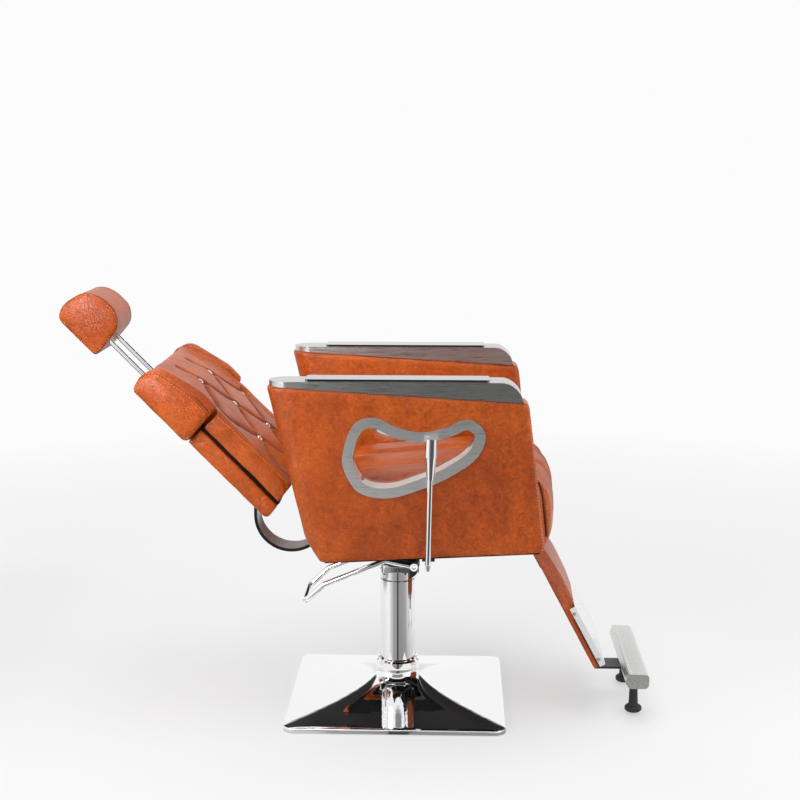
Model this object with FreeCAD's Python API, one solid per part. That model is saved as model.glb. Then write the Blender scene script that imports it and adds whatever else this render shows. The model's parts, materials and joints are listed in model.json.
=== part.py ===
# A reclining hydraulic barber chair, in millimetres.
# X points forward (towards the footrest), Y across the chair, Z up. The origin is on the floor,
# at the centre of the base. The back is modelled fully reclined and the lift at its lowest.
import FreeCAD, Part
import math
import os

V = FreeCAD.Vector
AXIS_X = V(1, 0, 0)
AXIS_Y = V(0, 1, 0)
AXIS_Z = V(0, 0, 1)

# Clearances
run_gap = 0.06          # radial clearance of a shaft in its bore
soft_gap = 0.3          # space kept beside a soft piece
slip_gap = 0.3          # space between pieces that slide or turn past each other
corner_share = 0.48     # most of a side's length that a rounded corner takes

# Base and column
base_side = 500.0
base_corner = 28.0
rim_height = 10.0
mat_thick = 2.0
mat_radius = 165.0
cover_sheet = 2.5
neck_radius = 50.0
neck_height = 79.0
base_curve = 3.0        # how hollow the sides of the base are
# The steps of the base's slope, as shares of its height.
slope_shares = (0.0, 0.03, 0.08, 0.15, 0.25, 0.38, 0.55, 0.76, 1.0)
weight_radius = 150.0
weight_thick = 14.0
boss_radius = 46.0
boss_height = 36.0
column_radius = 41.0
column_wall = 2.5
column_top = 290.0
collar_radius = 52.0
collar_height = 19.0
collar_bevel = 4.0
collar_dish = 6.0

# Hydraulic pump
stroke = 150.0
cylinder_radius = 33.0
bore_radius = 27.2
cylinder_floor = 12.0
gland_height = 14.0
piston_radius = 25.0
seal_height = 8.0
seal_depth = 3.0        # how deep the seal sits in the piston
shoulder_drop = 0.7     # the piston's shoulder, below the head
spigot_radius = 15.0
spigot_height = 24.0
washer_thick = 3.7
head_gap = 3.0          # between the column's top and the head
head_radius = 41.0
head_half = 39.0
head_height = 37.0
head_front = 52.0
head_back = -38.0
head_drum = 20.0        # height of the head's round lower part
head_corner = 10.0
lever_x = 40.0          # pump shaft, from the column's centre
lever_rise = 7.0        # pump shaft, above the head's top
shaft_radius = 5.5
socket_radius = 4.6     # hole in the shaft's end
socket_depth = 5.0
eye_radius = 9.0
eye_half = 9.0
lever_rod = 6.6
lever_bend = 13.0
lever_half_width = 70.0
pedal_half = 62.0
lever_crest = (-66.0, 13.6)     # bends of the foot lever, from its shaft: (forward, up)
lever_knee = (-208.0, -45.0)
lever_pedal = (-254.0, -88.0)

# Seat frame
plate_back = -22.0
plate_front = 52.0
plate_half = 50.0
plate_thick = 20.0
plate_corner = 10.0
lug_radius = 10.5       # bosses on the mounting plate, round the pump shaft
lug_thick = 8.0
lug_drop = 30.0         # how far a lug hangs below the plate
rail_height = 65.0
rail_taper = 25.0       # how much lower a rail is at its ends
rail_width = 30.0
rail_wall = 4.0
rail_y = 33.0
rail_back = -60.0
rail_front = 140.0
mount_bolt_x = (-8.0, 22.0)
bolt_radius = 4.0
bolt_grip = 5.0         # thread below the mounting plate
tube_width = 25.0
tube_height = 40.0
tube_wall = 2.0
frame_front = 300.0
board_thick = 15.0
board_back = -140.0

# Arms
arm_inner = 231.0
arm_thick = 80.0
arm_edge = 7.0
arm_bolt_x = (0.0, 100.0, 200.0)
arm_bolt_grip = 30.0
arm_top_back = (-268.5, 794.5)
arm_top_front = (286.0, 761.5)
arm_bottom_front = (324.5, 437.0)
arm_bottom_back = (-154.0, 411.5)
arm_heel = (-190.5, 464.0)
cap_rise = 10.5         # the cap's level top, above the arm's rear top corner
cap_nose = 45.0         # radius of the cap's round front
cap_nose_long = (32.0, 8.0)     # where its bends are, back from the cap's front
cap_nose_drop = 20.0
cap_inset = 5.0         # cap, in from the arm's rear end
cap_front = 276.0
trim_width = 22.0
trim_proud = 3.0
trim_sleeve = 2.0
sleeve_depth = 48.0
pad_back = -185.0
pad_front = 204.0
pad_width = 60.0
pad_thick = 4.5
pad_corner = 6.0

# Seat cushion
seat_rise = 0.09        # slope of the seat's top, rising to the front
seat_top_back = 558.8
seat_front = 352.0
seat_low = 418.0
seat_channel = 75.0     # lengthwise seams, each side of the middle
seat_crown = 9.0

# Leg rest and footrest
leg_width = 304.0
leg_inset = 3.2         # the board's rear, behind the frame's front end
leg_lean = 27.9         # degrees from upright
leg_length = 330.0
leg_board = 28.0
leg_pad_crown = 5.0
leg_pad_taper = 8.0     # how much thinner the pad is at its top
leg_pad_length = 178.0
leg_pad_bow = 300.0     # radius of the pad's bowed front
leg_pad_edge = 7.0
leg_top = 30.0          # how far the board reaches up, before it is cut level
kick_sheet = 1.5
kick_side = 13.5
screw_radius = 2.5
screw_head = 4.0
screw_length = 10.0
bar_length = 350.0
bar_reach = 67.8        # footrest bar, forward of the board's lower corner
bar_drop = 36.4         # and its underside, below that corner
bar_width = 54.0
bar_height = 34.0
foot_spread = 98.0
bar_cap = 4.0
foot_gap = 6.5          # between the rubber feet and the floor, at the lowest lift
foot_radius = 19.5
foot_disc = 13.0        # height of a foot's round disc
foot_stem = (10.8, 8.3) # radii of a foot's stem, below and above
foot_shift = 1.5        # feet, forward of the bar's middle
bracket_width = 62.0
bracket_thick = 5.0
bracket_back = 0.7      # where the bracket hangs, as a share of the leg rest's thickness
strap_sheet = 3.0       # straps that hang the leg rest
strap_tail = 70.0
strap_flange = 50.0
hanger_half = 15.0
hanger_in = 45.0        # those straps, in from the leg rest's sides

# Recline
pivot_x = -100.0
pivot_rise = 25.0       # hinge pin, above the frame's underside
pivot_pin = 8.0
hub_radius = 14.0
hub_half = 36.0
ear_thick = 6.0
strap_width = 70.0
strap_thick = 7.0
strap_curve = 82.5      # radius of the strap's round stretch, at mid thickness
strap_x = -246.5
strap_z = 446.0
strap_bend = 50.0
strap_top = 148.0       # where the strap ends on the back
strap_bolt_z = (112.0, 136.0)
strap_bolt_y = 20.0
strap_bolt_radius = 3.5
strap_bolt_length = 22.0
back_lean = 44.4        # degrees from upright at full recline
back_foot = (-277.0, 485.0)
recline_range = 38.0
crank_length = 60.0
crank_pin = 4.0
crank_sheet = 4.0
crank_gap = 8.0         # from the middle to each cheek of the crank
crank_foot = 9.0
spring_radius = 11.0
spring_back = -20.0
spring_front = 205.0
gas_rod_radius = 5.0

# Back
back_length = 411.0
back_half = 207.0
panel_half = 185.0
wing_half = 238.0
wing_low = 244.0
shell_thick = 32.5
strip_thick = 7.0
strip_inset = 6.0
shell_swell = 5.0       # padding behind the shell
back_thick = 93.0       # at the tufted middle, low on the back
back_border = 99.0      # at the plain bands beside the tufts
back_edge_thick = 84.0
back_taper = 10.0       # how much thinner the back gets from its foot to the top row of buttons
tuft_rows = [(39.0, (-157.0, 0.0, 157.0)), (132.0, (-78.0, 78.0)), (226.0, (-157.0, 0.0, 157.0)),
             (318.0, (-63.0, 63.0))]
tuft_depth = 11.0
button_radius = 9.0
button_top = 6.0
button_height = 5.0
pleat_half = 5.0        # half the width of a pleat at the cushion's face
pleat_reach = 100.0     # buttons nearer than this across the back share a pleat
rear_panel_half = 100.0
rear_panel_low = 152.0
rear_panel_thick = 24.0

# Headrest
rod_spread = 41.5
rod_radius = 5.5
rod_back = 11.5         # rods, behind the shell's flat rear face
rod_low = 250.0
rod_high = 560.0
notch_count = 3
notch_low = 438.0
notch_pitch = 36.0
notch_radius = 2.5
guide_radius = 8.5
rest_half = 80.0
rest_low = 524.0
rest_high = 653.0
rest_rear = -52.0
rest_nose = 55.0

# Recline lever
handle_y = -332.0
handle_low = (75.5, 404.0)
handle_top = (82.5, 690.0)
handle_rod = 6.0
grip_radius = 13.0
grip_length = 88.0

# Sizes that follow from the ones above
cover_low = mat_thick
head_low = column_top + head_gap
head_top = head_low + head_height
lever_z = head_top + lever_rise
plate_top = head_top + plate_thick
frame_low = plate_top + rail_height
frame_top = frame_low + tube_height
board_top = frame_top + board_thick
pivot_z = frame_low + pivot_rise
cap_top = arm_top_back[1] + cap_rise
arm_length = arm_top_front[0] - arm_top_back[0]
leg_top_back = (frame_front - leg_inset, frame_low)
leg_foot_x = leg_top_back[0] + leg_length * math.sin(math.radians(leg_lean))
leg_foot_z = leg_top_back[1] - leg_length * math.cos(math.radians(leg_lean))
bar_back = leg_foot_x + bar_reach
bar_front = bar_back + bar_width
bar_low = leg_foot_z - bar_drop
bar_high = bar_low + bar_height
cut_reach = base_side   # a cutter of this length goes right through any piece
arm_outer = arm_inner + arm_thick
arm_middle = arm_inner + arm_thick / 2
strap_half = strap_width / 2


# Helpers for plain shapes
def box(x0, x1, y0, y1, z0, z1):
    return Part.makeBox(x1 - x0, y1 - y0, z1 - z0, V(x0, y0, z0))


def rod(radius, start, end):
    return Part.makeCylinder(radius, (end - start).Length, start, end - start)


def pin_y(radius, x, z, y0, y1):
    return Part.makeCylinder(radius, y1 - y0, V(x, y0, z), AXIS_Y)


def disc(radius, z0, z1, hole=0.0):
    body = Part.makeCylinder(radius, z1 - z0, V(0, 0, z0))
    if hole:
        body = body.cut(Part.makeCylinder(hole, z1 - z0, V(0, 0, z0)))
    return body


def mirror_y(shape):
    return shape.mirror(V(0, 0, 0), AXIS_Y)


def fuse_all(shapes):
    return shapes[0].multiFuse(shapes[1:]).removeSplitter()


def rounded_wire(points, y=0.0):
    """A closed wire in the plane y through points (x, z, corner radius)."""
    spots = [V(p[0], y, p[1]) for p in points]
    edges = []
    ends = []
    for i, spot in enumerate(spots):
        before = (spots[i - 1] - spot).normalize()
        after = (spots[(i + 1) % len(spots)] - spot).normalize()
        radius = points[i][2]
        if radius:
            half = math.acos(max(-1.0, min(1.0, before.dot(after)))) / 2
            room = min((spots[i - 1] - spot).Length, (spots[(i + 1) % len(spots)] - spot).Length)
            reach = min(radius / math.tan(half), corner_share * room)
            radius = reach * math.tan(half)
            middle = (before + after).normalize()
            centre = spot + middle * (radius / math.sin(half))
            ends.append((spot + before * reach, centre - middle * radius, spot + after * reach))
        else:
            ends.append((spot, None, spot))
    for i, (start, mid, end) in enumerate(ends):
        if mid:
            edges.append(Part.Arc(start, mid, end).toShape())
        follow = ends[(i + 1) % len(ends)][0]
        if (follow - end).Length > 1e-4:
            edges.append(Part.makeLine(end, follow))
    return Part.Wire(edges)


def biarc(start, heading, end, end_heading):
    """Two arcs that leave start along heading and meet end along end_heading."""
    gap = end - start
    both = heading + end_heading
    lead = gap.dot(both)
    spread = 2 * (1 - heading.dot(end_heading))
    reach = (math.sqrt(lead ** 2 + spread * gap.dot(gap)) - lead) / spread
    meet = (start + end + (heading - end_heading) * reach) * 0.5
    arcs = []
    for near, far, along in ((start, meet, heading), (end, meet, end_heading)):
        chord = far - near
        side = chord - along * chord.dot(along)
        centre = near + side * (chord.dot(chord) / (2 * side.dot(side)))
        middle = centre + (((near + far) * 0.5) - centre).normalize() * (near - centre).Length
        if near is end:
            near, far = far, near
        arcs.append(Part.Arc(near, middle, far).toShape())
    return arcs


def plate_xz(points, y0, y1):
    """A plate with the outline points (x, z, corner radius), from y0 to y1."""
    return Part.Face(rounded_wire(points, y0)).extrude(V(0, y1 - y0, 0))


def bent_rod(points, radius, bend):
    """A round rod along straight runs joined by tangent bends of radius bend."""
    pieces = []
    last = points[0]
    for i in range(1, len(points) - 1):
        spot = points[i]
        before = (points[i - 1] - spot).normalize()
        after = (points[i + 1] - spot).normalize()
        half = math.acos(max(-1.0, min(1.0, before.dot(after)))) / 2
        reach = bend / math.tan(half)
        start = spot + before * reach
        centre = spot + (before + after).normalize() * (bend / math.sin(half))
        pieces.append(rod(radius, last, start))
        ring = Part.Face(Part.Wire(Part.Circle(start, before, radius).toShape()))
        turn = 180 - 2 * math.degrees(half)
        pieces.append(ring.revolve(centre, after.cross(before), turn))
        last = spot + after * reach
    pieces.append(rod(radius, last, points[-1]))
    return fuse_all(pieces)


def rounded_square(half, corner, z):
    """A square wire of half width half with round corners, at height z."""
    corner = min(corner, half * 0.98)
    flat = half - corner
    edges = []
    for turn in range(4):
        angle = math.radians(90 * turn)
        ahead = V(math.cos(angle), math.sin(angle), 0)
        side = V(-math.sin(angle), math.cos(angle), 0)
        centre = ahead * flat + side * flat + V(0, 0, z)
        diagonal = (ahead + side).normalize()
        start = centre + ahead * corner
        end = centre + side * corner
        edges.append(Part.Arc(start, centre + diagonal * corner, end).toShape())
        edges.append(Part.makeLine(end, end - ahead * (2 * flat)))
    return Part.Wire(edges)


# Base
def base_slopes(inset):
    """The base above its rim: rounded squares that shrink in a hollow curve up to the neck."""
    wires = []
    rim_top = cover_low + rim_height
    for share in slope_shares:
        half = neck_radius + (base_side / 2 - neck_radius) * (1 - share) ** base_curve
        corner = base_corner + (neck_radius - base_corner) * math.sqrt(share)
        height = rim_top + (neck_height - rim_top) * share
        wires.append(rounded_square(half - inset, corner, height - inset))
    return Part.makeLoft(wires, True, True)


def make_base_cover():
    rim = Part.Face(rounded_square(base_side / 2, base_corner, cover_low)).extrude(V(0, 0, rim_height))
    hollow = Part.Face(rounded_square(base_side / 2 - cover_sheet, base_corner, cover_low))
    hollow = hollow.extrude(V(0, 0, rim_height - cover_sheet))
    cover = rim.fuse(base_slopes(0)).cut(hollow)
    cover = cover.cut(base_slopes(cover_sheet))
    return cover.cut(disc(neck_radius - cover_sheet, neck_height / 2, neck_height + 1))


def make_base():
    parts = {}
    parts["floor_mat"] = disc(mat_radius, 0, mat_thick)
    weight = disc(weight_radius, mat_thick, mat_thick + weight_thick)
    weight = weight.fuse(disc(boss_radius, mat_thick + weight_thick, boss_height))
    seat_floor = mat_thick + weight_thick / 2
    weight = weight.cut(disc(cylinder_radius + run_gap, seat_floor, boss_height + 1))
    parts["base_weight"] = weight.removeSplitter()
    parts["base_cover"] = make_base_cover()
    collar_top = neck_height + collar_height
    straight = collar_top - collar_bevel
    ring = disc(collar_radius, neck_height, straight)
    ring = ring.fuse(Part.makeCone(collar_radius, collar_radius - collar_bevel, collar_bevel,
                                   V(0, 0, straight)))
    ring = ring.cut(disc(column_radius, neck_height, collar_top))
    dish = Part.makeCone(column_radius + 1, collar_radius - collar_bevel - 1, collar_dish,
                         V(0, 0, collar_top - collar_dish))
    parts["column_collar"] = ring.cut(dish)
    parts["column_cover"] = disc(column_radius, boss_height, column_top, column_radius - column_wall)
    gland_low = column_top - gland_height
    cylinder = disc(cylinder_radius, seat_floor, gland_low)
    cylinder = cylinder.cut(disc(bore_radius, seat_floor + cylinder_floor, gland_low))
    parts["pump_cylinder"] = cylinder
    parts["cylinder_gland"] = disc(column_radius - column_wall - run_gap, gland_low, column_top,
                                   piston_radius + run_gap)
    return parts


# Lift
def make_lift():
    parts = {}
    low = mat_thick + weight_thick / 2 + cylinder_floor + seal_height / 2
    shoulder = head_low - shoulder_drop
    piston = disc(piston_radius, low, shoulder)
    seal_low = low + seal_height
    seal_top = seal_low + seal_height
    piston = piston.cut(disc(bore_radius, seal_low, seal_top, piston_radius - seal_depth))
    spigot = disc(spigot_radius, shoulder, shoulder + washer_thick + spigot_height)
    parts["piston"] = piston.fuse(spigot).removeSplitter()
    parts["piston_seal"] = disc(bore_radius - run_gap, seal_low, seal_top, piston_radius - seal_depth)
    parts["swivel_washer"] = disc(piston_radius, shoulder, shoulder + washer_thick,
                                  spigot_radius + run_gap)
    return parts


# Pump head and its foot lever
def make_pump_head():
    drum = disc(head_radius, head_low, head_low + head_drum)
    block_low = head_low + head_drum - 1
    block = box(head_back, head_front, -head_half, head_half, block_low, head_top)
    corners = [e for e in block.Edges if abs(e.BoundBox.ZLength - (head_top - block_low)) < 0.1]
    head = fuse_all([drum, block.makeFillet(head_corner, corners)])
    socket_top = head_low - shoulder_drop + washer_thick
    head = head.cut(disc(piston_radius + slip_gap, head_low, socket_top + slip_gap))
    head = head.cut(disc(spigot_radius + run_gap, head_low, socket_top + spigot_height + slip_gap))
    for x in mount_bolt_x:
        for y in (-rail_y, rail_y):
            head = head.cut(Part.makeCylinder(bolt_radius, bolt_grip, V(x, y, head_top - bolt_grip)))
    return head


def lever_path(side):
    """Half of the foot lever's run, from the shaft to the pedal's corner."""
    shaft = V(lever_x, side * lever_half_width, lever_z)
    crest = shaft + V(lever_crest[0], 0, lever_crest[1])
    knee = shaft + V(lever_knee[0], 0, lever_knee[1])
    pedal = V(lever_x + lever_pedal[0], side * pedal_half, lever_z + lever_pedal[1])
    return [shaft, crest, knee, pedal]


def make_pump_lever():
    run = lever_path(1) + list(reversed(lever_path(-1)))
    lever = bent_rod(run, lever_rod, lever_bend)
    for side in (-1, 1):
        y = side * lever_half_width
        lever = lever.fuse(pin_y(eye_radius, lever_x, lever_z, y - eye_half, y + eye_half))
    return lever.cut(pin_y(shaft_radius, lever_x, lever_z, -cut_reach, cut_reach)).removeSplitter()


def make_pump():
    parts = {}
    parts["pump_head"] = make_pump_head()
    parts["pump_lever"] = make_pump_lever()
    reach = lever_half_width + eye_half + 1
    shaft = pin_y(shaft_radius, lever_x, lever_z, -reach, reach)
    for y in (-reach, reach - socket_depth):
        shaft = shaft.cut(pin_y(socket_radius, lever_x, lever_z, y, y + socket_depth))
    parts["pump_shaft"] = shaft
    return parts


# Seat frame
def frame_tube(x0, x1, y0, y1):
    outer = box(x0, x1, y0, y1, frame_low, frame_top)
    if x1 - x0 > y1 - y0:
        inner = box(x0, x1, y0 + tube_wall, y1 - tube_wall, frame_low + tube_wall, frame_top - tube_wall)
    else:
        inner = box(x0 + tube_wall, x1 - tube_wall, y0, y1, frame_low + tube_wall, frame_top - tube_wall)
    return outer.cut(inner)


def make_seat_frame():
    half = arm_inner - slip_gap
    tubes = [frame_tube(rail_back, frame_front, -half, -half + tube_width),
             frame_tube(rail_back, frame_front, half - tube_width, half)]
    middle = (rail_back + frame_front) / 2
    for x in (rail_back, middle, frame_front - tube_width):
        tubes.append(frame_tube(x, x + tube_width, -half + tube_width, half - tube_width))
    frame = fuse_all(tubes)
    for bolt in make_arm_bolts(-1) + make_arm_bolts(1):
        frame = frame.cut(bolt)
    return frame


def make_rails():
    """Two pressed channels, lower at their ends, that carry the frame on the mounting plate."""
    rails = []
    for side in (-1, 1):
        low = side * rail_y - rail_width / 2
        high = side * rail_y + rail_width / 2
        outline = [(rail_back, frame_low, 0), (rail_front, frame_low, 0),
                   (rail_front, plate_top + rail_taper, 0), (plate_front, plate_top, 0),
                   (plate_back, plate_top, 0), (rail_back, plate_top + rail_taper, 0)]
        rail = plate_xz(outline, low, high)
        inside = [(x, z - rail_wall if z == frame_low else z + rail_wall, 0) for x, z, corner in outline]
        if side > 0:
            hollow = plate_xz(inside, low, high - rail_wall)
        else:
            hollow = plate_xz(inside, low + rail_wall, high)
        rails.append(rail.cut(hollow))
    return Part.makeCompound(rails)


def make_mount_plate():
    """The plate under the rails, with a boss and a lug on each side for the pump shaft."""
    plate = box(plate_back, plate_front, -plate_half, plate_half, head_top, plate_top)
    corners = [e for e in plate.Edges if abs(e.BoundBox.ZLength - plate_thick) < 0.1]
    plate = plate.makeFillet(plate_corner, corners)
    inner = plate_half - lug_thick
    outline = [(lever_x - lug_radius, head_top + 1, 0), (lever_x + lug_radius, head_top + 1, 0),
               (lever_x + lug_radius / 2, head_top - lug_drop * 0.6, 4),
               (lever_x - lug_radius, head_top - lug_drop, 2)]
    lug = plate_xz(outline, -plate_half, -inner)
    boss = pin_y(lug_radius, lever_x, lever_z, -lever_half_width + eye_half + slip_gap, -inner)
    plate = fuse_all([plate, lug, boss, mirror_y(lug), mirror_y(boss)])
    return plate.cut(pin_y(shaft_radius + run_gap, lever_x, lever_z, -cut_reach, cut_reach))


def bolt_down(x, y, z, length, radius=bolt_radius):
    """A hexagon bolt with its head on top at height z and its shank below."""
    head = Part.Face(Part.makePolygon([V(x + 2 * radius * math.cos(math.radians(60 * i)),
                                         y + 2 * radius * math.sin(math.radians(60 * i)), z)
                                       for i in range(7)])).extrude(V(0, 0, radius * 1.3))
    return head.fuse(Part.makeCylinder(radius, length, V(x, y, z - length)))


def make_frame():
    parts = {}
    plate = make_mount_plate()
    rails = make_rails()
    bolts = []
    for x in mount_bolt_x:
        for y in (-rail_y, rail_y):
            bolts.append(bolt_down(x, y, plate_top + rail_wall, rail_wall + plate_thick + bolt_grip))
            hole = Part.makeCylinder(bolt_radius, plate_thick + 2 * rail_wall, V(x, y, head_top))
            plate = plate.cut(hole)
            rails = rails.cut(hole)
    parts["mount_plate"] = plate
    parts["frame_rails"] = rails
    parts["mount_bolts"] = Part.makeCompound(bolts)
    parts["seat_frame"] = make_seat_frame()
    board_half = arm_inner - slip_gap
    parts["seat_board"] = box(board_back, frame_front, -board_half, board_half, frame_top, board_top)
    return parts


# Seat cushion
def seat_section(y, drop, inset):
    """The cushion's outline at one y, lowered by drop and drawn in at the front by inset."""
    back = board_back + inset * 0.3
    top = seat_top_back - drop
    front = seat_front - inset
    crest = top + seat_rise * (front - back)
    tuck = frame_front + soft_gap
    points = [(back, board_top, 0), (back, top, 16), (front - 58, crest - 4, 60),
              (front - 6, crest - 40, 60), (front, seat_low + 84, 70), (front - 2, seat_low + 36, 40),
              (front - 18, seat_low, 10), (tuck, seat_low, 0), (tuck, board_top, 0)]
    return rounded_wire(points, y)


def make_seat_cushion():
    edge = arm_inner - soft_gap - 1.0
    stations = [(edge, 14, 20), (edge - 10, 2, 8), (edge - 70, -5, -1), (seat_channel + 8, -4, -4),
                (seat_channel, -1, -2), (seat_channel - 8, -6, -6), (0, -seat_crown, -8)]
    ordered = [(-y, d, i) for y, d, i in stations] + [(y, d, i) for y, d, i in reversed(stations[:-1])]
    sections = [seat_section(y, d, i) for y, d, i in ordered]
    return Part.makeLoft(sections, True, True)


# Arms
def arm_outline():
    return [arm_top_back + (4,), arm_top_front + (14,), arm_bottom_front + (15,),
            arm_bottom_back + (6,), arm_heel + (40,)]


loop_points = [(-106, 647), (-81, 715), (-40, 730), (15, 708), (65, 700), (111, 710), (156, 727),
               (187, 712), (196, 684), (177, 644), (125, 606), (65, 578), (-8, 557), (-68, 567), (-98, 605)]


def loop_wire(inset, y):
    """The kidney shaped loop in the plane y, of tangent arcs, drawn in by inset."""
    count = len(loop_points)
    spots = [V(x, y, z) for x, z in loop_points]
    headings = [(spots[(i + 1) % count] - spots[i - 1]).normalize() for i in range(count)]
    edges = []
    for i in range(count):
        edges += biarc(spots[i], headings[i], spots[(i + 1) % count], headings[(i + 1) % count])
    wire = Part.Wire(edges)
    return wire.makeOffset2D(-inset) if inset else wire


def loop_solid(inset, y0, y1):
    return Part.Face(loop_wire(inset, y0)).extrude(V(0, y1 - y0, 0))


def make_arm_panel():
    """The right arm, on the side of negative y: a padded slab with a round rear end."""
    slab = plate_xz(arm_outline(), -arm_outer, -arm_inner)
    edges = [e for e in slab.Edges if e.BoundBox.YLength < 0.1]
    front = arm_heel[0] + arm_thick
    rounded = [e for e in edges if e.BoundBox.XMin > front or e.BoundBox.XLength > arm_length / 2]
    slab = slab.makeFillet(arm_edge, rounded)
    slope = V(arm_top_back[0] - arm_heel[0], 0, arm_top_back[1] - arm_heel[1]).normalize()
    reach = 2 * (arm_top_back[1] - arm_bottom_back[1])
    across = V(slope.z, 0, -slope.x)
    centre = V(arm_heel[0], -arm_middle, arm_heel[1]) - slope * (reach / 2) + across * (arm_thick / 2)
    nose = Part.makeCylinder(arm_thick / 2, reach, centre, slope)
    body = Part.makeBox(reach, arm_thick, reach, V(0, -arm_thick / 2, 0))
    turn = FreeCAD.Rotation(AXIS_Y, math.degrees(math.atan2(slope.x, slope.z)))
    body.Placement = FreeCAD.Placement(centre, turn)
    slab = slab.common(nose.fuse(body))
    return slab.cut(loop_solid(trim_width - trim_sleeve, -arm_outer - 1, -arm_inner + 1))


def make_arm_trim():
    """A flat steel ring on the arm's outer face, with a sleeve that lines the loop."""
    ring = loop_solid(0, -arm_outer - trim_proud, -arm_outer)
    ring = ring.cut(loop_solid(trim_width, -arm_outer - 10, -arm_outer + 10))
    sleeve = loop_solid(trim_width - trim_sleeve, -arm_outer - trim_proud, -arm_outer + sleeve_depth)
    sleeve = sleeve.cut(loop_solid(trim_width, -arm_outer - 10, -arm_inner + 10))
    return ring.fuse(sleeve).removeSplitter()


def arm_top_at(x):
    share = (x - arm_top_back[0]) / arm_length
    return arm_top_back[1] + share * (arm_top_front[1] - arm_top_back[1])


def make_arm_cap():
    """A steel wedge on the arm's sloping top, level above, round in plan at the rear and round in front."""
    back = arm_top_back[0] + cap_inset
    low = arm_top_at(cap_front)
    outline = [(back, arm_top_at(back), 0), (back, cap_top, 0),
               (cap_front - cap_nose_long[0], cap_top, cap_nose),
               (cap_front - cap_nose_long[1], cap_top - cap_nose_drop, cap_nose), (cap_front, low, 0)]
    wedge = plate_xz(outline, -arm_outer + 1, -arm_inner - 1)
    half = arm_thick / 2 - 1
    plan = Part.makeCylinder(half, cap_top - low, V(back + half, -arm_middle, low))
    plan = plan.fuse(box(back + half, cap_front, -arm_outer, -arm_inner, low, cap_top))
    return wedge.common(plan)


def make_arm_pad():
    pad = box(pad_back, pad_front, -arm_middle - pad_width / 2, -arm_middle + pad_width / 2,
              cap_top, cap_top + pad_thick)
    corners = [e for e in pad.Edges if abs(e.BoundBox.ZLength - pad_thick) < 0.1]
    return pad.makeFillet(pad_corner, corners)


def make_arm_bolts(side):
    """Bolts from inside the frame's side tube into the arm."""
    bolts = []
    wall = side * (arm_inner - slip_gap - tube_wall)
    z = frame_low + tube_height / 2
    for x in arm_bolt_x:
        head = rod(2 * bolt_radius, V(x, wall - side * 5, z), V(x, wall, z))
        bolts.append(head.fuse(rod(bolt_radius, V(x, wall, z), V(x, side * (arm_inner + arm_bolt_grip), z))))
    return bolts


def make_arms():
    parts = {}
    right = {"arm_panel": make_arm_panel(), "arm_trim": make_arm_trim(),
             "arm_cap": make_arm_cap(), "arm_pad": make_arm_pad()}
    bolts = make_arm_bolts(-1)
    for bolt in bolts:
        right["arm_panel"] = right["arm_panel"].cut(bolt)
    for name, shape in right.items():
        parts[name + "_right"] = shape
        parts[name + "_left"] = mirror_y(shape)
    parts["arm_bolts"] = Part.makeCompound(bolts + [mirror_y(b) for b in bolts])
    return parts


# Leg rest and footrest
def place_leg(shape):
    """From a leg rest built upright and hanging down, to where it hangs below the seat."""
    shape = shape.copy()
    shape.rotate(V(0, 0, 0), AXIS_Y, -leg_lean)
    shape.translate(V(leg_top_back[0], 0, leg_top_back[1]))
    return shape


def below_frame(shape):
    """The leg rest's pieces end level with the frame's underside."""
    return shape.cut(box(0, seat_front, -leg_width, leg_width, frame_low, frame_low + leg_length))


def make_leg_rest():
    """Local X is the thickness to the front and local Z runs up from the board's top corner."""
    parts = {}
    half = leg_width / 2
    bottom = -leg_length
    pad_low = -leg_pad_length
    recess = leg_board - kick_side
    board = box(0, recess, -half, half, bottom, leg_top)
    core = box(recess, leg_board - kick_sheet, -half + kick_sheet, half - kick_sheet,
               bottom + kick_sheet, pad_low)
    board = board.fuse(core)
    stations = [(half, leg_board - 5), (half - 3, leg_board - 1), (half - 12, leg_board + 1),
                (0, leg_board + leg_pad_crown)]
    stations = stations + [(-y, front) for y, front in reversed(stations[:-1])]
    sections = []
    for y, front in stations:
        outline = [(recess, leg_top, 0), (front - leg_pad_taper, leg_top, 0),
                   (front + leg_pad_crown / 2, pad_low * 0.6, leg_pad_bow),
                   (front, pad_low, leg_pad_edge), (recess, pad_low, 0)]
        sections.append(rounded_wire(outline, y))
    pad = Part.makeLoft(sections, True, True)
    kick = box(recess, leg_board, -half, half, bottom, pad_low)
    hollow = box(recess - 1, leg_board - kick_sheet, -half + kick_sheet, half - kick_sheet,
                 bottom + kick_sheet, pad_low)
    kick = kick.cut(hollow)
    screws = []
    x = recess + kick_side / 3
    for z in (pad_low - 14, bottom + 18):
        for side in (-1, 1):
            y = side * half
            shank = rod(screw_radius, V(x, y - side * screw_length, z), V(x, y, z))
            screws.append(shank.fuse(rod(screw_head, V(x, y, z), V(x, y + side * kick_sheet, z))))
    for screw in screws:
        kick = kick.cut(screw)
        board = board.cut(screw)
    for name, shape in (("leg_board", board), ("leg_pad", pad), ("kick_plate", kick)):
        parts[name] = below_frame(place_leg(shape))
    parts["kick_screws"] = place_leg(Part.makeCompound(screws))
    return parts


def make_leg_brackets():
    """Two folded steel straps that hang the leg rest from the frame."""
    brackets = []
    x = leg_top_back[0]
    for side in (-1, 1):
        y = side * (leg_width / 2 - hanger_in)
        flat = box(x - strap_flange, x, y - hanger_half, y + hanger_half, frame_low - strap_sheet, frame_low)
        tail = place_leg(box(-strap_sheet, 0, y - hanger_half, y + hanger_half, -strap_tail, 10))
        brackets.append(flat.fuse(below_frame(tail)).removeSplitter())
    return Part.makeCompound(brackets)


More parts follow.
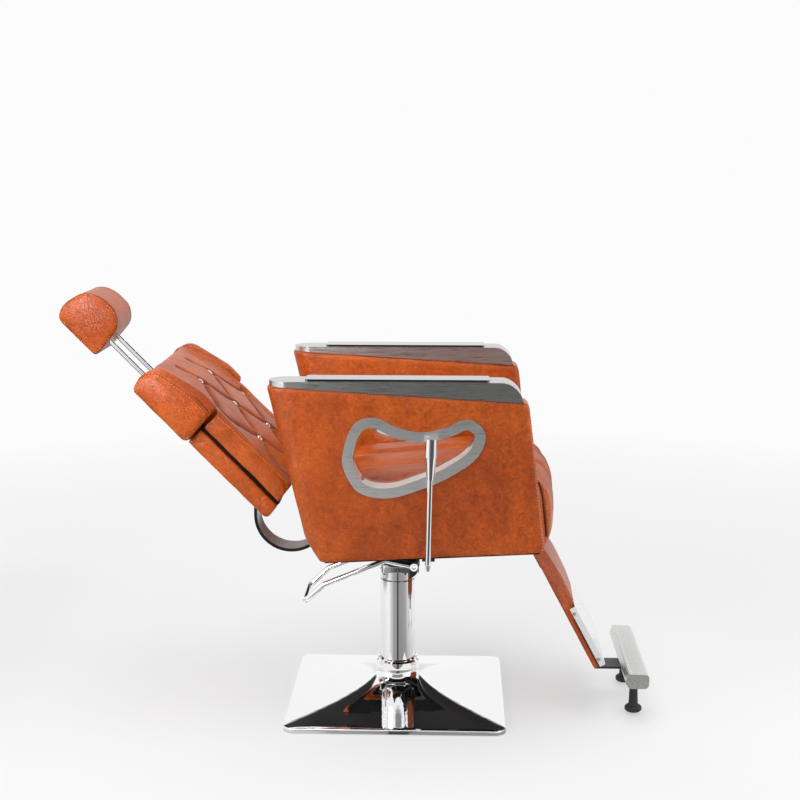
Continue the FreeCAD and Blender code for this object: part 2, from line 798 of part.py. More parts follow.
def make_rubber_foot():
    """A round foot with a stem that widens downwards, built on the Z axis."""
    low = foot_gap
    disc_top = low + foot_disc
    edge = foot_disc / 4
    spots = [(0, low), (foot_radius - edge, low), (foot_radius, low + edge), (foot_radius, disc_top - edge),
             (foot_radius - edge, disc_top), (foot_stem[0] + 1, disc_top + 2),
             (foot_stem[0], disc_top + 5), (foot_stem[1], bar_low), (0, bar_low)]
    profile = Part.Face(Part.makePolygon([V(r, 0, z) for r, z in spots + spots[:1]]))
    return profile.revolve(V(0, 0, 0), AXIS_Z, 360)


def make_footrest():
    parts = {}
    half = bar_length / 2
    outline = [(bar_back + 7, bar_high + 1, 3), (bar_back + 16, bar_high, 12), (bar_front, bar_high - 1, 9),
               (bar_front - 1, bar_low, 10), (bar_back + 9, bar_low, 9), (bar_back, bar_low + 15, 8)]
    parts["footrest_bar"] = plate_xz(outline, -half + bar_cap, half - bar_cap)
    caps = [plate_xz(outline, half - bar_cap, half)]
    caps.append(mirror_y(caps[0]))
    parts["bar_caps"] = Part.makeCompound(caps)
    lean = math.radians(leg_lean)
    hang = leg_board * bracket_back
    foot_x = leg_foot_x + hang * math.cos(lean)
    foot_z = leg_foot_z + hang * math.sin(lean)
    side = bracket_width / 2
    shoe = place_leg(box(leg_board / 3, leg_board - 2, -side, side, -leg_length - bracket_thick, -leg_length))
    web = box(foot_x - bracket_thick, foot_x, -side, side, bar_low - bracket_thick, foot_z)
    web = web.cut(place_leg(box(-leg_board, 3 * leg_board, -side, side, -leg_length, 0)))
    plate = box(foot_x - bracket_thick, bar_front - 8, -side, side, bar_low - bracket_thick, bar_low)
    parts["footrest_bracket"] = fuse_all([shoe, web, plate])
    middle = (bar_back + bar_front) / 2 + foot_shift
    foot = make_rubber_foot()
    feet = []
    for side in (-1, 1):
        feet.append(foot.copy())
        feet[-1].translate(V(middle, side * foot_spread, 0))
    parts["rubber_feet"] = Part.makeCompound(feet)
    return parts


# Recline hinge, curved strap and gas spring
def place_back(shape):
    """From a back built upright, with X the thickness and Z up from its lower end, to its place."""
    shape = shape.copy()
    shape.rotate(V(0, 0, 0), AXIS_Y, -back_lean)
    shape.translate(V(back_foot[0], 0, back_foot[1]))
    return shape


def make_recline_bracket():
    """Two steel ears behind the frame that hold the back's hinge pin."""
    ears = []
    low = pivot_z - 17
    inner = hub_half + slip_gap
    for side in (-1, 1):
        y0 = min(side * inner, side * (inner + ear_thick))
        outline = [(rail_back, frame_low, 0), (rail_back, frame_top, 0),
                   (pivot_x - 15, frame_top - 0.5, 13), (pivot_x - 15, low, 13)]
        ears.append(plate_xz(outline, y0, y0 + ear_thick))
    bracket = Part.makeCompound(ears)
    reach = inner + ear_thick
    return bracket.cut(pin_y(pivot_pin, pivot_x, pivot_z, -reach - 1, reach + 1))


def strap_outline(offset):
    """One face of the curved strap, from the hub to the rear of the back."""
    dx = pivot_x - strap_x
    dz = pivot_z - strap_z
    reach = math.hypot(dx, dz)
    start = math.atan2(dz, dx) - math.acos(strap_curve / reach)
    lean = math.radians(back_lean)
    radius = strap_curve + offset
    leave = V(strap_x + radius * math.cos(start), 0, strap_z + radius * math.sin(start))
    hub = leave + V(-math.sin(start), 0, math.cos(start)) * math.sqrt(reach ** 2 - strap_curve ** 2)
    mid_angle = (start - math.pi) / 2
    middle = V(strap_x + radius * math.cos(mid_angle), 0, strap_z + radius * math.sin(mid_angle))
    rise = V(strap_x - radius, 0, strap_z)
    # The rear face of the back, moved out by half the strap, meets the upright run here.
    out = shell_swell + strap_thick / 2 + offset
    along = V(-math.sin(lean), 0, math.cos(lean))
    normal = V(-math.cos(lean), 0, -math.sin(lean))
    foot = V(back_foot[0], 0, back_foot[1]) + normal * out
    s = (strap_x - radius - foot.x) / along.x
    corner = foot + along * s
    bend = strap_bend - offset
    cut = bend * math.tan(lean / 2)
    bend_start = corner - V(0, 0, cut)
    bend_end = corner + along * cut
    centre = bend_start - V(bend, 0, 0)
    half = lean / 2
    bend_mid = centre + V(bend * math.cos(half), 0, bend * math.sin(half))
    end = foot + along * strap_top
    return hub, leave, middle, rise, bend_start, bend_mid, bend_end, end


def make_strap_bolts():
    """Bolts through the strap into the back's shell."""
    bolts = []
    for z in strap_bolt_z:
        for y in (-strap_bolt_y, strap_bolt_y):
            bolt = bolt_down(0, 0, 0, strap_bolt_length, strap_bolt_radius)
            bolt.rotate(V(0, 0, 0), AXIS_Y, -90)
            bolt.translate(V(-shell_swell - strap_thick, y, z))
            bolts.append(bolt)
    return bolts


def make_strap():
    half = strap_thick / 2
    runs = []
    for offset in (half, -half):
        hub, leave, middle, rise, start, mid, bend_end, end = strap_outline(offset)
        runs.append([Part.makeLine(hub, leave), Part.Arc(leave, middle, rise).toShape(),
                     Part.makeLine(rise, start), Part.Arc(start, mid, bend_end).toShape(),
                     Part.makeLine(bend_end, end)])
    outer_ends = strap_outline(half)
    inner_ends = strap_outline(-half)
    edges = runs[0] + [Part.makeLine(outer_ends[7], inner_ends[7])] + runs[1]
    edges.append(Part.makeLine(inner_ends[0], outer_ends[0]))
    face = Part.Face(Part.Wire(Part.__sortEdges__(edges)))
    face.translate(V(0, -strap_half, 0))
    strap = face.extrude(V(0, strap_width, 0))
    hub_tube = pin_y(hub_radius, pivot_x, pivot_z, -hub_half, hub_half)
    strap = strap.fuse(hub_tube)
    for bolt in make_strap_bolts():
        strap = strap.cut(place_back(bolt))
    return strap.cut(pin_y(pivot_pin + run_gap, pivot_x, pivot_z, -cut_reach, cut_reach)).removeSplitter()


def crank_point():
    """The crank pin at rest: forward of straight down by half the recline range."""
    half = math.radians(recline_range / 2)
    return pivot_x + crank_length * math.sin(half), pivot_z - crank_length * math.cos(half)


def make_crank():
    """Two cheeks on the strap's hub that hold the gas spring's pin."""
    x, z = crank_point()
    cheeks = []
    for y in (-crank_gap - crank_sheet, crank_gap):
        arm = pin_y(crank_foot + 2, pivot_x, pivot_z, y, y + crank_sheet)
        arm = arm.fuse(pin_y(crank_foot, x, z, y, y + crank_sheet))
        across = V(z - pivot_z, 0, pivot_x - x).normalize() * crank_foot
        corners = [V(pivot_x, y, pivot_z) + across, V(x, y, z) + across,
                   V(x, y, z) - across, V(pivot_x, y, pivot_z) - across]
        web = Part.Face(Part.makePolygon(corners + corners[:1])).extrude(V(0, crank_sheet, 0))
        cheeks.append(arm.fuse(web))
    reach = crank_gap + crank_sheet + 2
    crank = cheeks[0].fuse(cheeks[1]).fuse(pin_y(crank_pin, x, z, -reach, reach))
    return crank.cut(pin_y(hub_radius, pivot_x, pivot_z, -cut_reach, cut_reach)).removeSplitter()


def make_gas_spring():
    parts = {}
    x, z = crank_point()
    z = pivot_z - crank_length + (crank_length - (pivot_z - z)) / 2
    tube = rod(spring_radius, V(spring_back, 0, z), V(spring_front, 0, z))
    tube = tube.cut(rod(spring_radius - 3, V(spring_back + 6, 0, z), V(spring_front - 12, 0, z)))
    tube = tube.cut(rod(gas_rod_radius + run_gap, V(spring_back - 1, 0, z), V(spring_back + 7, 0, z)))
    eye = pin_y(9, spring_front + 8, z, -6, 6).cut(pin_y(4, spring_front + 8, z, -7, 7))
    parts["gas_cylinder"] = tube.fuse(eye.cut(rod(spring_radius, V(0, 0, z), V(spring_front, 0, z))))
    ear_x = spring_front + 8
    hanger_back = spring_front + slip_gap
    hanger = box(hanger_back, ear_x + 14, -14, 14, z - 14, frame_low)
    hanger = hanger.cut(box(hanger_back, ear_x + 14, -9, 9, z - 15, frame_low - 5))
    hanger = hanger.fuse(pin_y(4, ear_x, z, -16, 16))
    parts["spring_hanger"] = hanger.fuse(box(hanger_back, frame_front - 8, -14, 14,
                                             frame_low - 5, frame_low)).removeSplitter()
    eye_hole = crank_pin + 2.6
    gas_rod = rod(gas_rod_radius, V(x + eye_hole + 2, 0, z), V(spring_back + 60, 0, z))
    ring = pin_y(eye_hole + 4, x, z, -7, 7).cut(pin_y(eye_hole, x, z, -8, 8))
    parts["gas_rod"] = gas_rod.fuse(ring).removeSplitter()
    return parts


def make_recline():
    parts = {}
    parts["recline_bracket"] = make_recline_bracket()
    reach = hub_half + slip_gap + ear_thick
    pin = pin_y(pivot_pin, pivot_x, pivot_z, -reach, reach)
    for side in (-1, 1):
        pin = pin.fuse(pin_y(pivot_pin + 4, pivot_x, pivot_z, side * reach - (5 if side < 0 else 0),
                             side * reach + (5 if side > 0 else 0)))
    parts["hinge_pin"] = pin
    parts["back_strap"] = make_strap()
    parts["recline_crank"] = make_crank()
    parts.update(make_gas_spring())
    return parts


# Back
def make_back_shell():
    outline = [(-shell_swell, 0, 8), (shell_thick, 5, 0), (shell_thick, back_length, 0),
               (-shell_swell, back_length, 20)]
    shell = plate_xz(outline, -back_half, back_half)
    for side in (-1, 1):
        y0 = min(side * panel_half, side * (back_half + 10))
        shell = shell.cut(box(-50, 60, y0, y0 + back_half + 10 - panel_half, wing_low, back_length + 1))
    return shell


def make_back_strip():
    front = shell_thick + strip_thick
    low_half = back_half - strip_inset
    high_half = panel_half - strip_inset
    strip = box(shell_thick, front, -low_half, low_half, strip_inset, wing_low + 20)
    upper = box(shell_thick, front, -high_half, high_half, wing_low, back_length - 40)
    side_cut = box(0, front + 1, -wing_half, wing_half, wing_low, wing_low + 30)
    return strip.cut(side_cut).fuse(upper).removeSplitter()


def back_front(y, z):
    """How far the cushion's front stands from the rear face, at a place on the back."""
    stations = back_stations()
    for (y0, f0), (y1, f1) in zip(stations, stations[1:]):
        if y0 <= y <= y1:
            front = f0 + (f1 - f0) * (y - y0) / (y1 - y0)
    low, high = tuft_rows[0][0], tuft_rows[-1][0]
    return front - back_taper * (min(max(z, low), high) - low) / (high - low)


def back_stations():
    """Places across the back, with the thickness at its foot."""
    half = [(back_half, back_edge_thick - 8), (back_half - 8, back_edge_thick + 6),
            (panel_half, back_border), (tuft_rows[0][1][-1] + 3, back_thick - 4), (78.0, back_thick)]
    return [(-y, f) for y, f in half] + [(0.0, back_thick + 1)] + [(y, f) for y, f in reversed(half)]


def back_section(y, front):
    """The front cushion's outline at one y, for a cushion whose foot is front thick."""
    low = shell_thick + strip_thick
    row = tuft_rows[-1][0]
    points = [(low, 9, 0), (front - 12, 14, 8), (front, 34, 22), (front - back_taper, row, 200),
              (front - 34, back_length - 18, 50), (low + 8, back_length + 3, 16), (low, back_length - 2, 0)]
    return rounded_wire(points, y)


def button_spots():
    """Places of the buttons on the back: (y, height up the back)."""
    return [(y, z) for z, row in tuft_rows for y in row]


def groove(start, end):
    """A long wedge that cuts a pleat between two spots on the back's front face."""
    feet = []
    for y, z in (start, end):
        tip = back_front(y, z) - tuft_depth * 0.6
        feet.append(V(tip, y, z))
    run = feet[1] - feet[0]
    side = run.cross(AXIS_X).normalize() * pleat_half
    out = V(tuft_depth * 0.6 + 4, 0, 0)
    wide = side * ((tuft_depth * 0.6 + 4) / (tuft_depth * 0.6))
    corners = [feet[0], feet[0] + out + wide, feet[0] + out - wide]
    return Part.Face(Part.makePolygon(corners + corners[:1])).extrude(run)


def pleats():
    """Pairs of spots joined by a pleat: neighbours in rows that follow each other, and up to the top."""
    pairs = []
    for (z0, row0), (z1, row1) in zip(tuft_rows, tuft_rows[1:]):
        for y0 in row0:
            for y1 in row1:
                if abs(y1 - y0) < pleat_reach:
                    pairs.append(((y0, z0), (y1, z1)))
    last, row = tuft_rows[-1]
    pairs += [((y, last), (y, last + 46)) for y in row]
    return pairs


def make_back_cushion():
    sections = [back_section(y, front) for y, front in back_stations()]
    cushion = Part.makeLoft(sections, True, True)
    for side in (-1, 1):
        y0 = min(side * panel_half, side * (back_half + 10))
        cushion = cushion.cut(box(0, 130, y0, y0 + back_half + 10 - panel_half,
                                  wing_low, back_length + 20))
    for start, end in pleats():
        cushion = cushion.cut(groove(start, end))
    for y, z in button_spots():
        foot = back_front(y, z) - tuft_depth
        bowl = Part.makeCone(button_radius, button_radius + 14, tuft_depth + 5, V(foot, y, z), AXIS_X)
        cushion = cushion.cut(bowl)
    return cushion


def make_buttons():
    buttons = []
    for y, z in button_spots():
        foot = back_front(y, z) - tuft_depth
        buttons.append(Part.makeCone(button_radius, button_top, button_height, V(foot, y, z), AXIS_X))
    return Part.makeCompound(buttons)


def wing_section(y, front, inset):
    """The side bolster's outline at one y."""
    low = wing_low + inset
    high = back_length - inset
    rear = inset * 0.6 - shell_swell
    points = [(rear, low, 12), (front - inset, low + 8, 12), (front - inset, low + 56, 60),
              (front * 0.72, high - 6, 34), (front * 0.3, high + 6, 16), (rear, high - 4, 10)]
    return rounded_wire(points, y)


def make_wing():
    inner = panel_half + soft_gap
    stations = [(inner, back_thick, 0), (inner + 18, back_thick + 2, 0),
                (wing_half - 14, back_edge_thick, 0), (wing_half - 4, back_edge_thick - 10, 1),
                (wing_half, back_edge_thick - 14, 5)]
    return Part.makeLoft([wing_section(-y, f, i) for y, f, i in stations], True, True)


def make_rear_panel():
    """A raised rear panel that houses the headrest's guide tubes."""
    outline = [(-shell_swell, rear_panel_low, 0), (-shell_swell, back_length - 20, 0),
               (-rear_panel_thick, back_length - 26, 12), (-rear_panel_thick, rear_panel_low + 10, 12)]
    panel = plate_xz(outline, -rear_panel_half, rear_panel_half)
    sides = [e for e in panel.Edges if e.BoundBox.XMax < -rear_panel_thick + 1 and e.BoundBox.ZLength > 100]
    panel = panel.makeFillet(14, sides)
    for side in (-1, 1):
        y = side * rod_spread
        panel = panel.cut(rod(guide_radius, V(-rod_back, y, 0), V(-rod_back, y, cut_reach)))
    return panel


def make_guides():
    tubes = []
    for side in (-1, 1):
        y = side * rod_spread
        top = back_length - 4
        tube = rod(guide_radius, V(-rod_back, y, rear_panel_low + 1), V(-rod_back, y, top - 4))
        tube = tube.fuse(rod(guide_radius + 3, V(-rod_back, y, top - 16), V(-rod_back, y, top)))
        tube = tube.cut(rod(rod_radius + run_gap, V(-rod_back, y, 0), V(-rod_back, y, cut_reach)))
        tubes.append(tube.cut(box(-shell_swell, shell_thick, y - 30, y + 30, 0, cut_reach)))
    return Part.makeCompound(tubes)


def make_back():
    parts = {}
    shell = make_back_shell()
    bolts = make_strap_bolts()
    for bolt in bolts:
        shell = shell.cut(bolt)
    parts["back_shell"] = shell
    parts["back_strip"] = make_back_strip()
    parts["back_cushion"] = make_back_cushion()
    parts["tuft_buttons"] = make_buttons()
    parts["wing_right"] = make_wing()
    parts["wing_left"] = mirror_y(parts["wing_right"])
    parts["rear_panel"] = make_rear_panel()
    parts["headrest_guides"] = make_guides()
    parts["strap_bolts"] = Part.makeCompound(bolts)
    return {name: place_back(shape) for name, shape in parts.items()}


# Headrest
def make_headrest():
    parts = {}
    outline = [(rest_rear, rest_low, 7), (rest_nose - 21, rest_low + 10, 40),
               (rest_nose + 1, rest_low + 42, 40), (rest_nose - 1, rest_low + 84, 60),
               (rest_nose - 19, rest_high - 9, 40), (rest_rear + 34, rest_high + 5, 50),
               (rest_rear - 1, rest_high - 8, 24)]
    pad = plate_xz(outline, -rest_half, rest_half)
    ends = [e for e in pad.Edges if e.BoundBox.YLength < 0.1]
    pad = pad.makeFillet(4, ends)
    rods = []
    for side in (-1, 1):
        y = side * rod_spread
        pad = pad.cut(rod(rod_radius, V(-rod_back, y, rod_low), V(-rod_back, y, rod_high)))
        rods.append(rod(rod_radius, V(-rod_back, y, rod_low), V(-rod_back, y, rod_high)))
        for i in range(notch_count):
            z = notch_low + i * notch_pitch
            notch = pin_y(notch_radius, rod_radius + notch_radius / 2 - rod_back, z, y - 8, y + 8)
            rods[-1] = rods[-1].cut(notch)
    parts["headrest_pad"] = pad
    parts["headrest_rods"] = Part.makeCompound(rods)
    return {name: place_back(shape) for name, shape in parts.items()}


# Recline lever
def make_recline_lever():
    parts = {}
    low = V(handle_low[0], handle_y, handle_low[1])
    top = V(handle_top[0], handle_y, handle_top[1])
    along = (top - low).normalize()
    inner = V(handle_low[0], -arm_inner + tube_width + 8, handle_low[1])
    grip_low = top - along * grip_length
    lever = bent_rod([inner, low, grip_low + along * 20], handle_rod, 14)
    parts["recline_lever"] = lever
    cone = Part.makeCone(handle_rod + 2, grip_radius - 1, grip_length * 0.55, grip_low, along)
    barrel = rod(grip_radius, grip_low + along * grip_length * 0.55, top)
    grip = cone.fuse(barrel)
    grip = grip.cut(rod(handle_rod, grip_low - along * 5, grip_low + along * 20))
    parts["lever_grip"] = grip.removeSplitter()
    return parts


def make_lever_bearing():
    """A bearing block under the frame's side tube that carries the recline lever's shaft."""
    x, z = handle_low
    outer = -arm_inner + slip_gap
    block = box(x - 14, x + 14, outer, outer + tube_width, z - handle_rod - 3, frame_low)
    return block.cut(pin_y(handle_rod + run_gap, x, z, outer - 1, outer + tube_width + 1))


def main():
    parts = {}
    parts.update(make_base())
    parts.update(make_lift())
    parts.update(make_pump())
    parts.update(make_frame())
    parts["seat_cushion"] = make_seat_cushion()
    parts.update(make_arms())
    parts.update(make_leg_rest())
    parts["leg_brackets"] = make_leg_brackets()
    parts.update(make_footrest())
    parts.update(make_recline())
    parts.update(make_back())
    parts.update(make_headrest())
    parts.update(make_recline_lever())
    parts["lever_bearing"] = make_lever_bearing()
    os.makedirs("parts", exist_ok=True)
    for name, shape in parts.items():
        shape.exportStep("parts/" + name + ".step")
        print(name, "solids", len(shape.Solids), "valid", shape.isValid(), "volume", round(shape.Volume))
    print(len(parts), "nodes")


main()
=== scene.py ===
# %% [markdown]
# # A reclining barber chair, dressed in Blender
#
# The chair's construction comes in as a fixed frame of plain solids. This lesson gives each of them its
# looks: chrome and brushed steel for the hard pieces, and sewn, padded leather for the soft ones.
# Units are metres. X points forward, Y across the chair, Z up.

# %% Load the frame
import json
import math

import bmesh
import bpy
import numpy as np
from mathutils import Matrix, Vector, noise
from mathutils.bvhtree import BVHTree


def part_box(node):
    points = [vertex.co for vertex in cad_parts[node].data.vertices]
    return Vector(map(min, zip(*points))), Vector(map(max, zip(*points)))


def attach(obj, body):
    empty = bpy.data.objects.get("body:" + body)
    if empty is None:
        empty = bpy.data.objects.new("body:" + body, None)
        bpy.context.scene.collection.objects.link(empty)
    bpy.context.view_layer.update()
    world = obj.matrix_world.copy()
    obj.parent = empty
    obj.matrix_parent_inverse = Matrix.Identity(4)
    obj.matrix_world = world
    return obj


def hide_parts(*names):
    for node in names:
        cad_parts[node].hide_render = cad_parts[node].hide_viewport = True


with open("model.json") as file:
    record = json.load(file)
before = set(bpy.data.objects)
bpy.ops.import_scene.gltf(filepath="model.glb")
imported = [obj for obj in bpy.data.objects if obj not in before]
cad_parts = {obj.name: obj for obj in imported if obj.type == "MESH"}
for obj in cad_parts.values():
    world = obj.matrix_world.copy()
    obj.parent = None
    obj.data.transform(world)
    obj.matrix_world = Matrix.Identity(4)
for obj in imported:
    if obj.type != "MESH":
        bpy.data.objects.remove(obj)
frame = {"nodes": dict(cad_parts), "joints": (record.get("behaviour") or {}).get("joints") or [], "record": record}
nodes = frame["nodes"]
scene = bpy.context.scene
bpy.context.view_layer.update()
UP = Vector((0, 0, 1))

# %% [markdown]
# ## Camera, floor and light
#
# The chair is seen from its right side, from a little above the arms. A long lens keeps the sides of the
# base nearly parallel. The light is a plain studio: one large soft lamp above, one on each side. Polished
# metal only looks like metal when it has something dark to show, so photographers hang black cloths
# beside it. Here a few flat cloths in the air and on the floor do the same. The camera doesn't see them.

# %% Camera
def put(name, data):
    """A new object in the scene."""
    obj = bpy.data.objects.new(name, data)
    scene.collection.objects.link(obj)
    return obj


camera_data = bpy.data.cameras.new("camera")
camera_data.lens = 67.5
camera_data.sensor_width = 36.0
camera = put("camera", camera_data)
camera.location = (0.1227, -3.4088, 1.3060)
camera_tilt = 0.1718
camera_turn = 0.0344
camera.rotation_euler = (math.pi / 2 - camera_tilt, 0, camera_turn)
scene.camera = camera
scene.view_settings.view_transform = "Standard"
print("lens", camera_data.lens, "mm")


# %% Helpers for materials
def feed(tree, slot, value):
    """Links a socket to a slot, or gives the slot a plain value."""
    if isinstance(value, bpy.types.NodeSocket):
        tree.links.new(value, slot)
    else:
        slot.default_value = value


def add_node(tree, kind, settings=None, **sockets):
    """A node of that kind, with its settings and with its sockets fed by name."""
    node = tree.nodes.new(kind)
    for label, value in (settings or {}).items():
        setattr(node, label, value)
    for label, value in sockets.items():
        feed(tree, node.inputs[label.replace("_", " ")], value)
    return node


def work_out(tree, operation, *values):
    """The result of a sum on sockets and plain numbers."""
    node = add_node(tree, "ShaderNodeMath", {"operation": operation})
    for slot, value in zip(node.inputs, values):
        feed(tree, slot, value)
    return node.outputs[0]


def start_material(name, **sockets):
    """A material with a Principled shader whose sockets are set, with its node tree."""
    material = bpy.data.materials.new(name)
    material.use_nodes = True
    tree = material.node_tree
    shader = tree.nodes["Principled BSDF"]
    for label, value in sockets.items():
        shader.inputs[label.replace("_", " ")].default_value = value
    return material, tree, shader


def place_on(tree, scale=(1, 1, 1)):
    """The piece's own coordinates in metres, stretched by scale."""
    coords = add_node(tree, "ShaderNodeTexCoord")
    return add_node(tree, "ShaderNodeMapping", Vector=coords.outputs["Object"], Scale=scale).outputs["Vector"]


def noise_on(tree, vector, scale, detail=3.0, roughness=0.5, distortion=0.0):
    return add_node(tree, "ShaderNodeTexNoise", Vector=vector, Scale=scale, Detail=detail, Roughness=roughness,
                    Distortion=distortion).outputs["Fac"]


def ramp(tree, source, *stops):
    """A colour ramp on source, with stops of (place, colour)."""
    node = add_node(tree, "ShaderNodeValToRGB", Fac=source)
    elements = node.color_ramp.elements
    while len(elements) < len(stops):
        elements.new(0.5)
    for element, (place, colour) in zip(elements, stops):
        element.position = place
        element.color = (*colour, 1.0)
    return node.outputs["Color"]


def spread(tree, source, low, high, new_low, new_high):
    """Maps a value from one range to another."""
    return add_node(tree, "ShaderNodeMapRange", Value=source, From_Min=low, From_Max=high, To_Min=new_low,
                    To_Max=new_high).outputs["Result"]


def mix_colours(tree, fac, a, b, mode="MIX"):
    """Mixes two colours. Each is a socket or a plain colour."""
    node = add_node(tree, "ShaderNodeMix", {"data_type": "RGBA", "blend_type": mode})
    slots = {slot.identifier: slot for slot in (*node.inputs, *node.outputs)}
    for label, value in (("Factor_Float", fac), ("A_Color", a), ("B_Color", b)):
        feed(tree, slots[label], (*value, 1.0) if isinstance(value, tuple) else value)
    return slots["Result_Color"]


def show_mix(tree, fac, first, second):
    """Shows a mix of two shaders on the material."""
    mix = add_node(tree, "ShaderNodeMixShader")
    for slot, value in zip(mix.inputs, (fac, first.outputs[0], second.outputs[0])):
        feed(tree, slot, value)
    feed(tree, tree.nodes["Material Output"].inputs["Surface"], mix.outputs[0])


def bump(tree, shader, *layers):
    """Stacks bump layers of (height socket, distance in metres) on the shader's normal."""
    below = {}
    for height, distance in layers:
        node = add_node(tree, "ShaderNodeBump", Strength=1.0, Distance=distance, Height=height, **below)
        below = {"Normal": node.outputs["Normal"]}
    feed(tree, shader.inputs["Normal"], below["Normal"])


# %% Floor
backdrop = 0.97
floor_reach = 12.0
near_glow = 0.5
fade_start = 1.0
fade_end = 3.4


def seen_directly(tree):
    """1 for the rays of the camera, of mirrors and of glass, 0 for the light that falls on things."""
    rays = add_node(tree, "ShaderNodeLightPath")
    seen = rays.outputs["Is Camera Ray"]
    for label in ("Is Glossy Ray", "Is Transmission Ray"):
        seen = work_out(tree, "MAXIMUM", seen, rays.outputs[label])
    return seen


def make_floor():
    """A pale floor that fades into the backdrop away from the chair, and keeps the shadow near it."""
    material, tree, shader = start_material("pale_floor", Roughness=0.6)
    place = place_on(tree)
    speckle = noise_on(tree, place, 1.5, 4.0)
    feed(tree, shader.inputs["Base Color"],
         ramp(tree, speckle, (0.3, (0.79, 0.79, 0.79)), (0.7, (0.82, 0.82, 0.82))))
    away = add_node(tree, "ShaderNodeVectorMath", {"operation": "LENGTH"})
    feed(tree, away.inputs[0], place)
    fade = spread(tree, away.outputs["Value"], fade_start, fade_end, near_glow, 1.0)
    glow = add_node(tree, "ShaderNodeEmission", Strength=backdrop)
    show_mix(tree, work_out(tree, "MULTIPLY", fade, seen_directly(tree)), shader, glow)
    return material


floor_mesh = bpy.data.meshes.new("floor")
floor_mesh.from_pydata([(x * floor_reach, y * floor_reach, 0) for x, y in ((-1, -1), (1, -1), (1, 1), (-1, 1))],
                       [], [(0, 1, 2, 3)])
floor_mesh.materials.append(make_floor())
put("floor", floor_mesh)
print("floor reaches", floor_reach, "m each way")

# %% World
ambient = 0.62
world = bpy.data.worlds.new("studio")
scene.world = world
world.use_nodes = True
sky = world.node_tree
background = sky.nodes["Background"]
background.inputs["Color"].default_value = (1, 1, 1, 1)
feed(sky, background.inputs["Strength"], spread(sky, seen_directly(sky), 0.0, 1.0, ambient, backdrop))
print("world strength for light:", ambient, "and as a backdrop:", backdrop)


# %% Lamps
def lamp(name, place, aim, size, watts, beam=180):
    """A lamp that faces aim. Its beam is given in degrees."""
    data = bpy.data.lights.new(name, "AREA")
    data.shape = "RECTANGLE"
    data.size, data.size_y = size
    data.energy = watts
    data.spread = math.radians(beam)
    obj = put(name, data)
    obj.location = place
    obj.rotation_euler = (Vector(aim) - Vector(place)).to_track_quat("-Z", "Y").to_euler()


lamp("top_lamp", (0.1, -0.6, 2.7), (0.05, 0, 0.5), (2.2, 2.0), 38)
lamp("left_lamp", (-2.3, -1.8, 1.7), (0, 0, 0.6), (1.2, 1.6), 22)
lamp("right_lamp", (2.4, -1.6, 1.3), (0, 0, 0.5), (1.0, 1.5), 14)
lamp("wing_lamp", (-1.13, -1.66, 1.22), (-0.62, -0.26, 0.80), (0.6, 0.6), 1.5, beam=40)
print("lamps:", len(bpy.data.lights))


# %% Dark cloths
def make_cloth():
    """A black cloth that thins out where its darkness falls from 1 to 0."""
    material, tree, shader = start_material("black_cloth", Base_Color=(0.01, 0.01, 0.01, 1), Roughness=0.9)
    darkness = add_node(tree, "ShaderNodeAttribute", {"attribute_name": "darkness"})
    show_mix(tree, darkness.outputs["Fac"], add_node(tree, "ShaderNodeBsdfTransparent"), shader)
    return material


black_cloth = make_cloth()


def hang(name, verts, faces, darkness):
    """A cloth that only reflections see."""
    mesh = bpy.data.meshes.new(name)
    mesh.from_pydata([tuple(v) for v in verts], [], faces)
    mesh.attributes.new("darkness", "FLOAT", "POINT").data.foreach_set("value", darkness)
    mesh.materials.append(black_cloth)
    obj = put(name, mesh)
    for ray in ("camera", "diffuse", "shadow", "transmission"):
        setattr(obj, "visible_" + ray, False)


def card(name, place, aim, size, shade=1.0, soft=0.15):
    """A flat cloth that faces aim and thins out along its edges."""
    turn = (Vector(aim) - Vector(place)).to_track_quat("-Z", "Y").to_matrix()
    rows = [(-0.5, 0.0), (soft - 0.5, shade), (0.5 - soft, shade), (0.5, 0.0)]
    verts = [Vector(place) + turn @ Vector((u * size[0], v * size[1], 0)) for v, _ in rows for u, _ in rows]
    darkness = [min(a, b) for _, a in rows for _, b in rows]
    faces = [(4 * j + i, 4 * j + i + 1, 4 * j + i + 5, 4 * j + i + 4) for j in range(3) for i in range(3)]
    hang(name, verts, faces, darkness)


def fan(name, centre, inner, outer, stops):
    """A cloth on the floor, spread like a fan from centre towards the camera: stops are (degrees, darkness)."""
    facing = math.atan2(camera.location.x - centre[0], centre[1] - camera.location.y)
    verts, darkness = [], []
    for degrees, shade in stops:
        angle = facing + math.radians(degrees)
        for reach in (inner, outer):
            verts.append((centre[0] + reach * math.sin(angle), centre[1] - reach * math.cos(angle), 0.002))
            darkness.append(shade)
    faces = [(2 * i, 2 * i + 1, 2 * i + 3, 2 * i + 2) for i in range(len(stops) - 1)]
    hang(name, verts, faces, darkness)


dark_side = [(-64, 0.0), (-48, 0.3), (-30, 0.64), (-5.5, 0.72), (-4.5, 0.985), (4.5, 0.985), (5.5, 0.72), (30, 0.70),
             (52, 0.62), (66, 0.3), (84, 0.0)]
deep_side = [(-48, 0.0), (-30, 0.75), (-8, 0.97), (44, 0.97), (58, 0.5), (72, 0.0)]
fan("fan_column", (0, 0), 0.12, 1.17, dark_side)
fan("fan_levers", (0.075, -0.36), 1.35, 3.9, deep_side)
card("card_front", (0.1, -2.2, 0.62), (0.1, 0, 0.62), (2.0, 0.62), 0.85)
card("card_high", (0.05, -1.4, 0.95), (0.05, 0, 0.95), (1.3, 0.85), 0.75)
card("card_under", (-0.03, 0.5, 0.48), (-0.03, 0, 0.48), (1.4, 0.36))
card("card_above", (0.40, 0.0, 1.86), (-0.62, 0, 0.83), (2.4, 1.6))
card("card_behind", (-1.55, 0.25, 0.003), (-1.55, 0.25, 1.0), (1.4, 1.9))

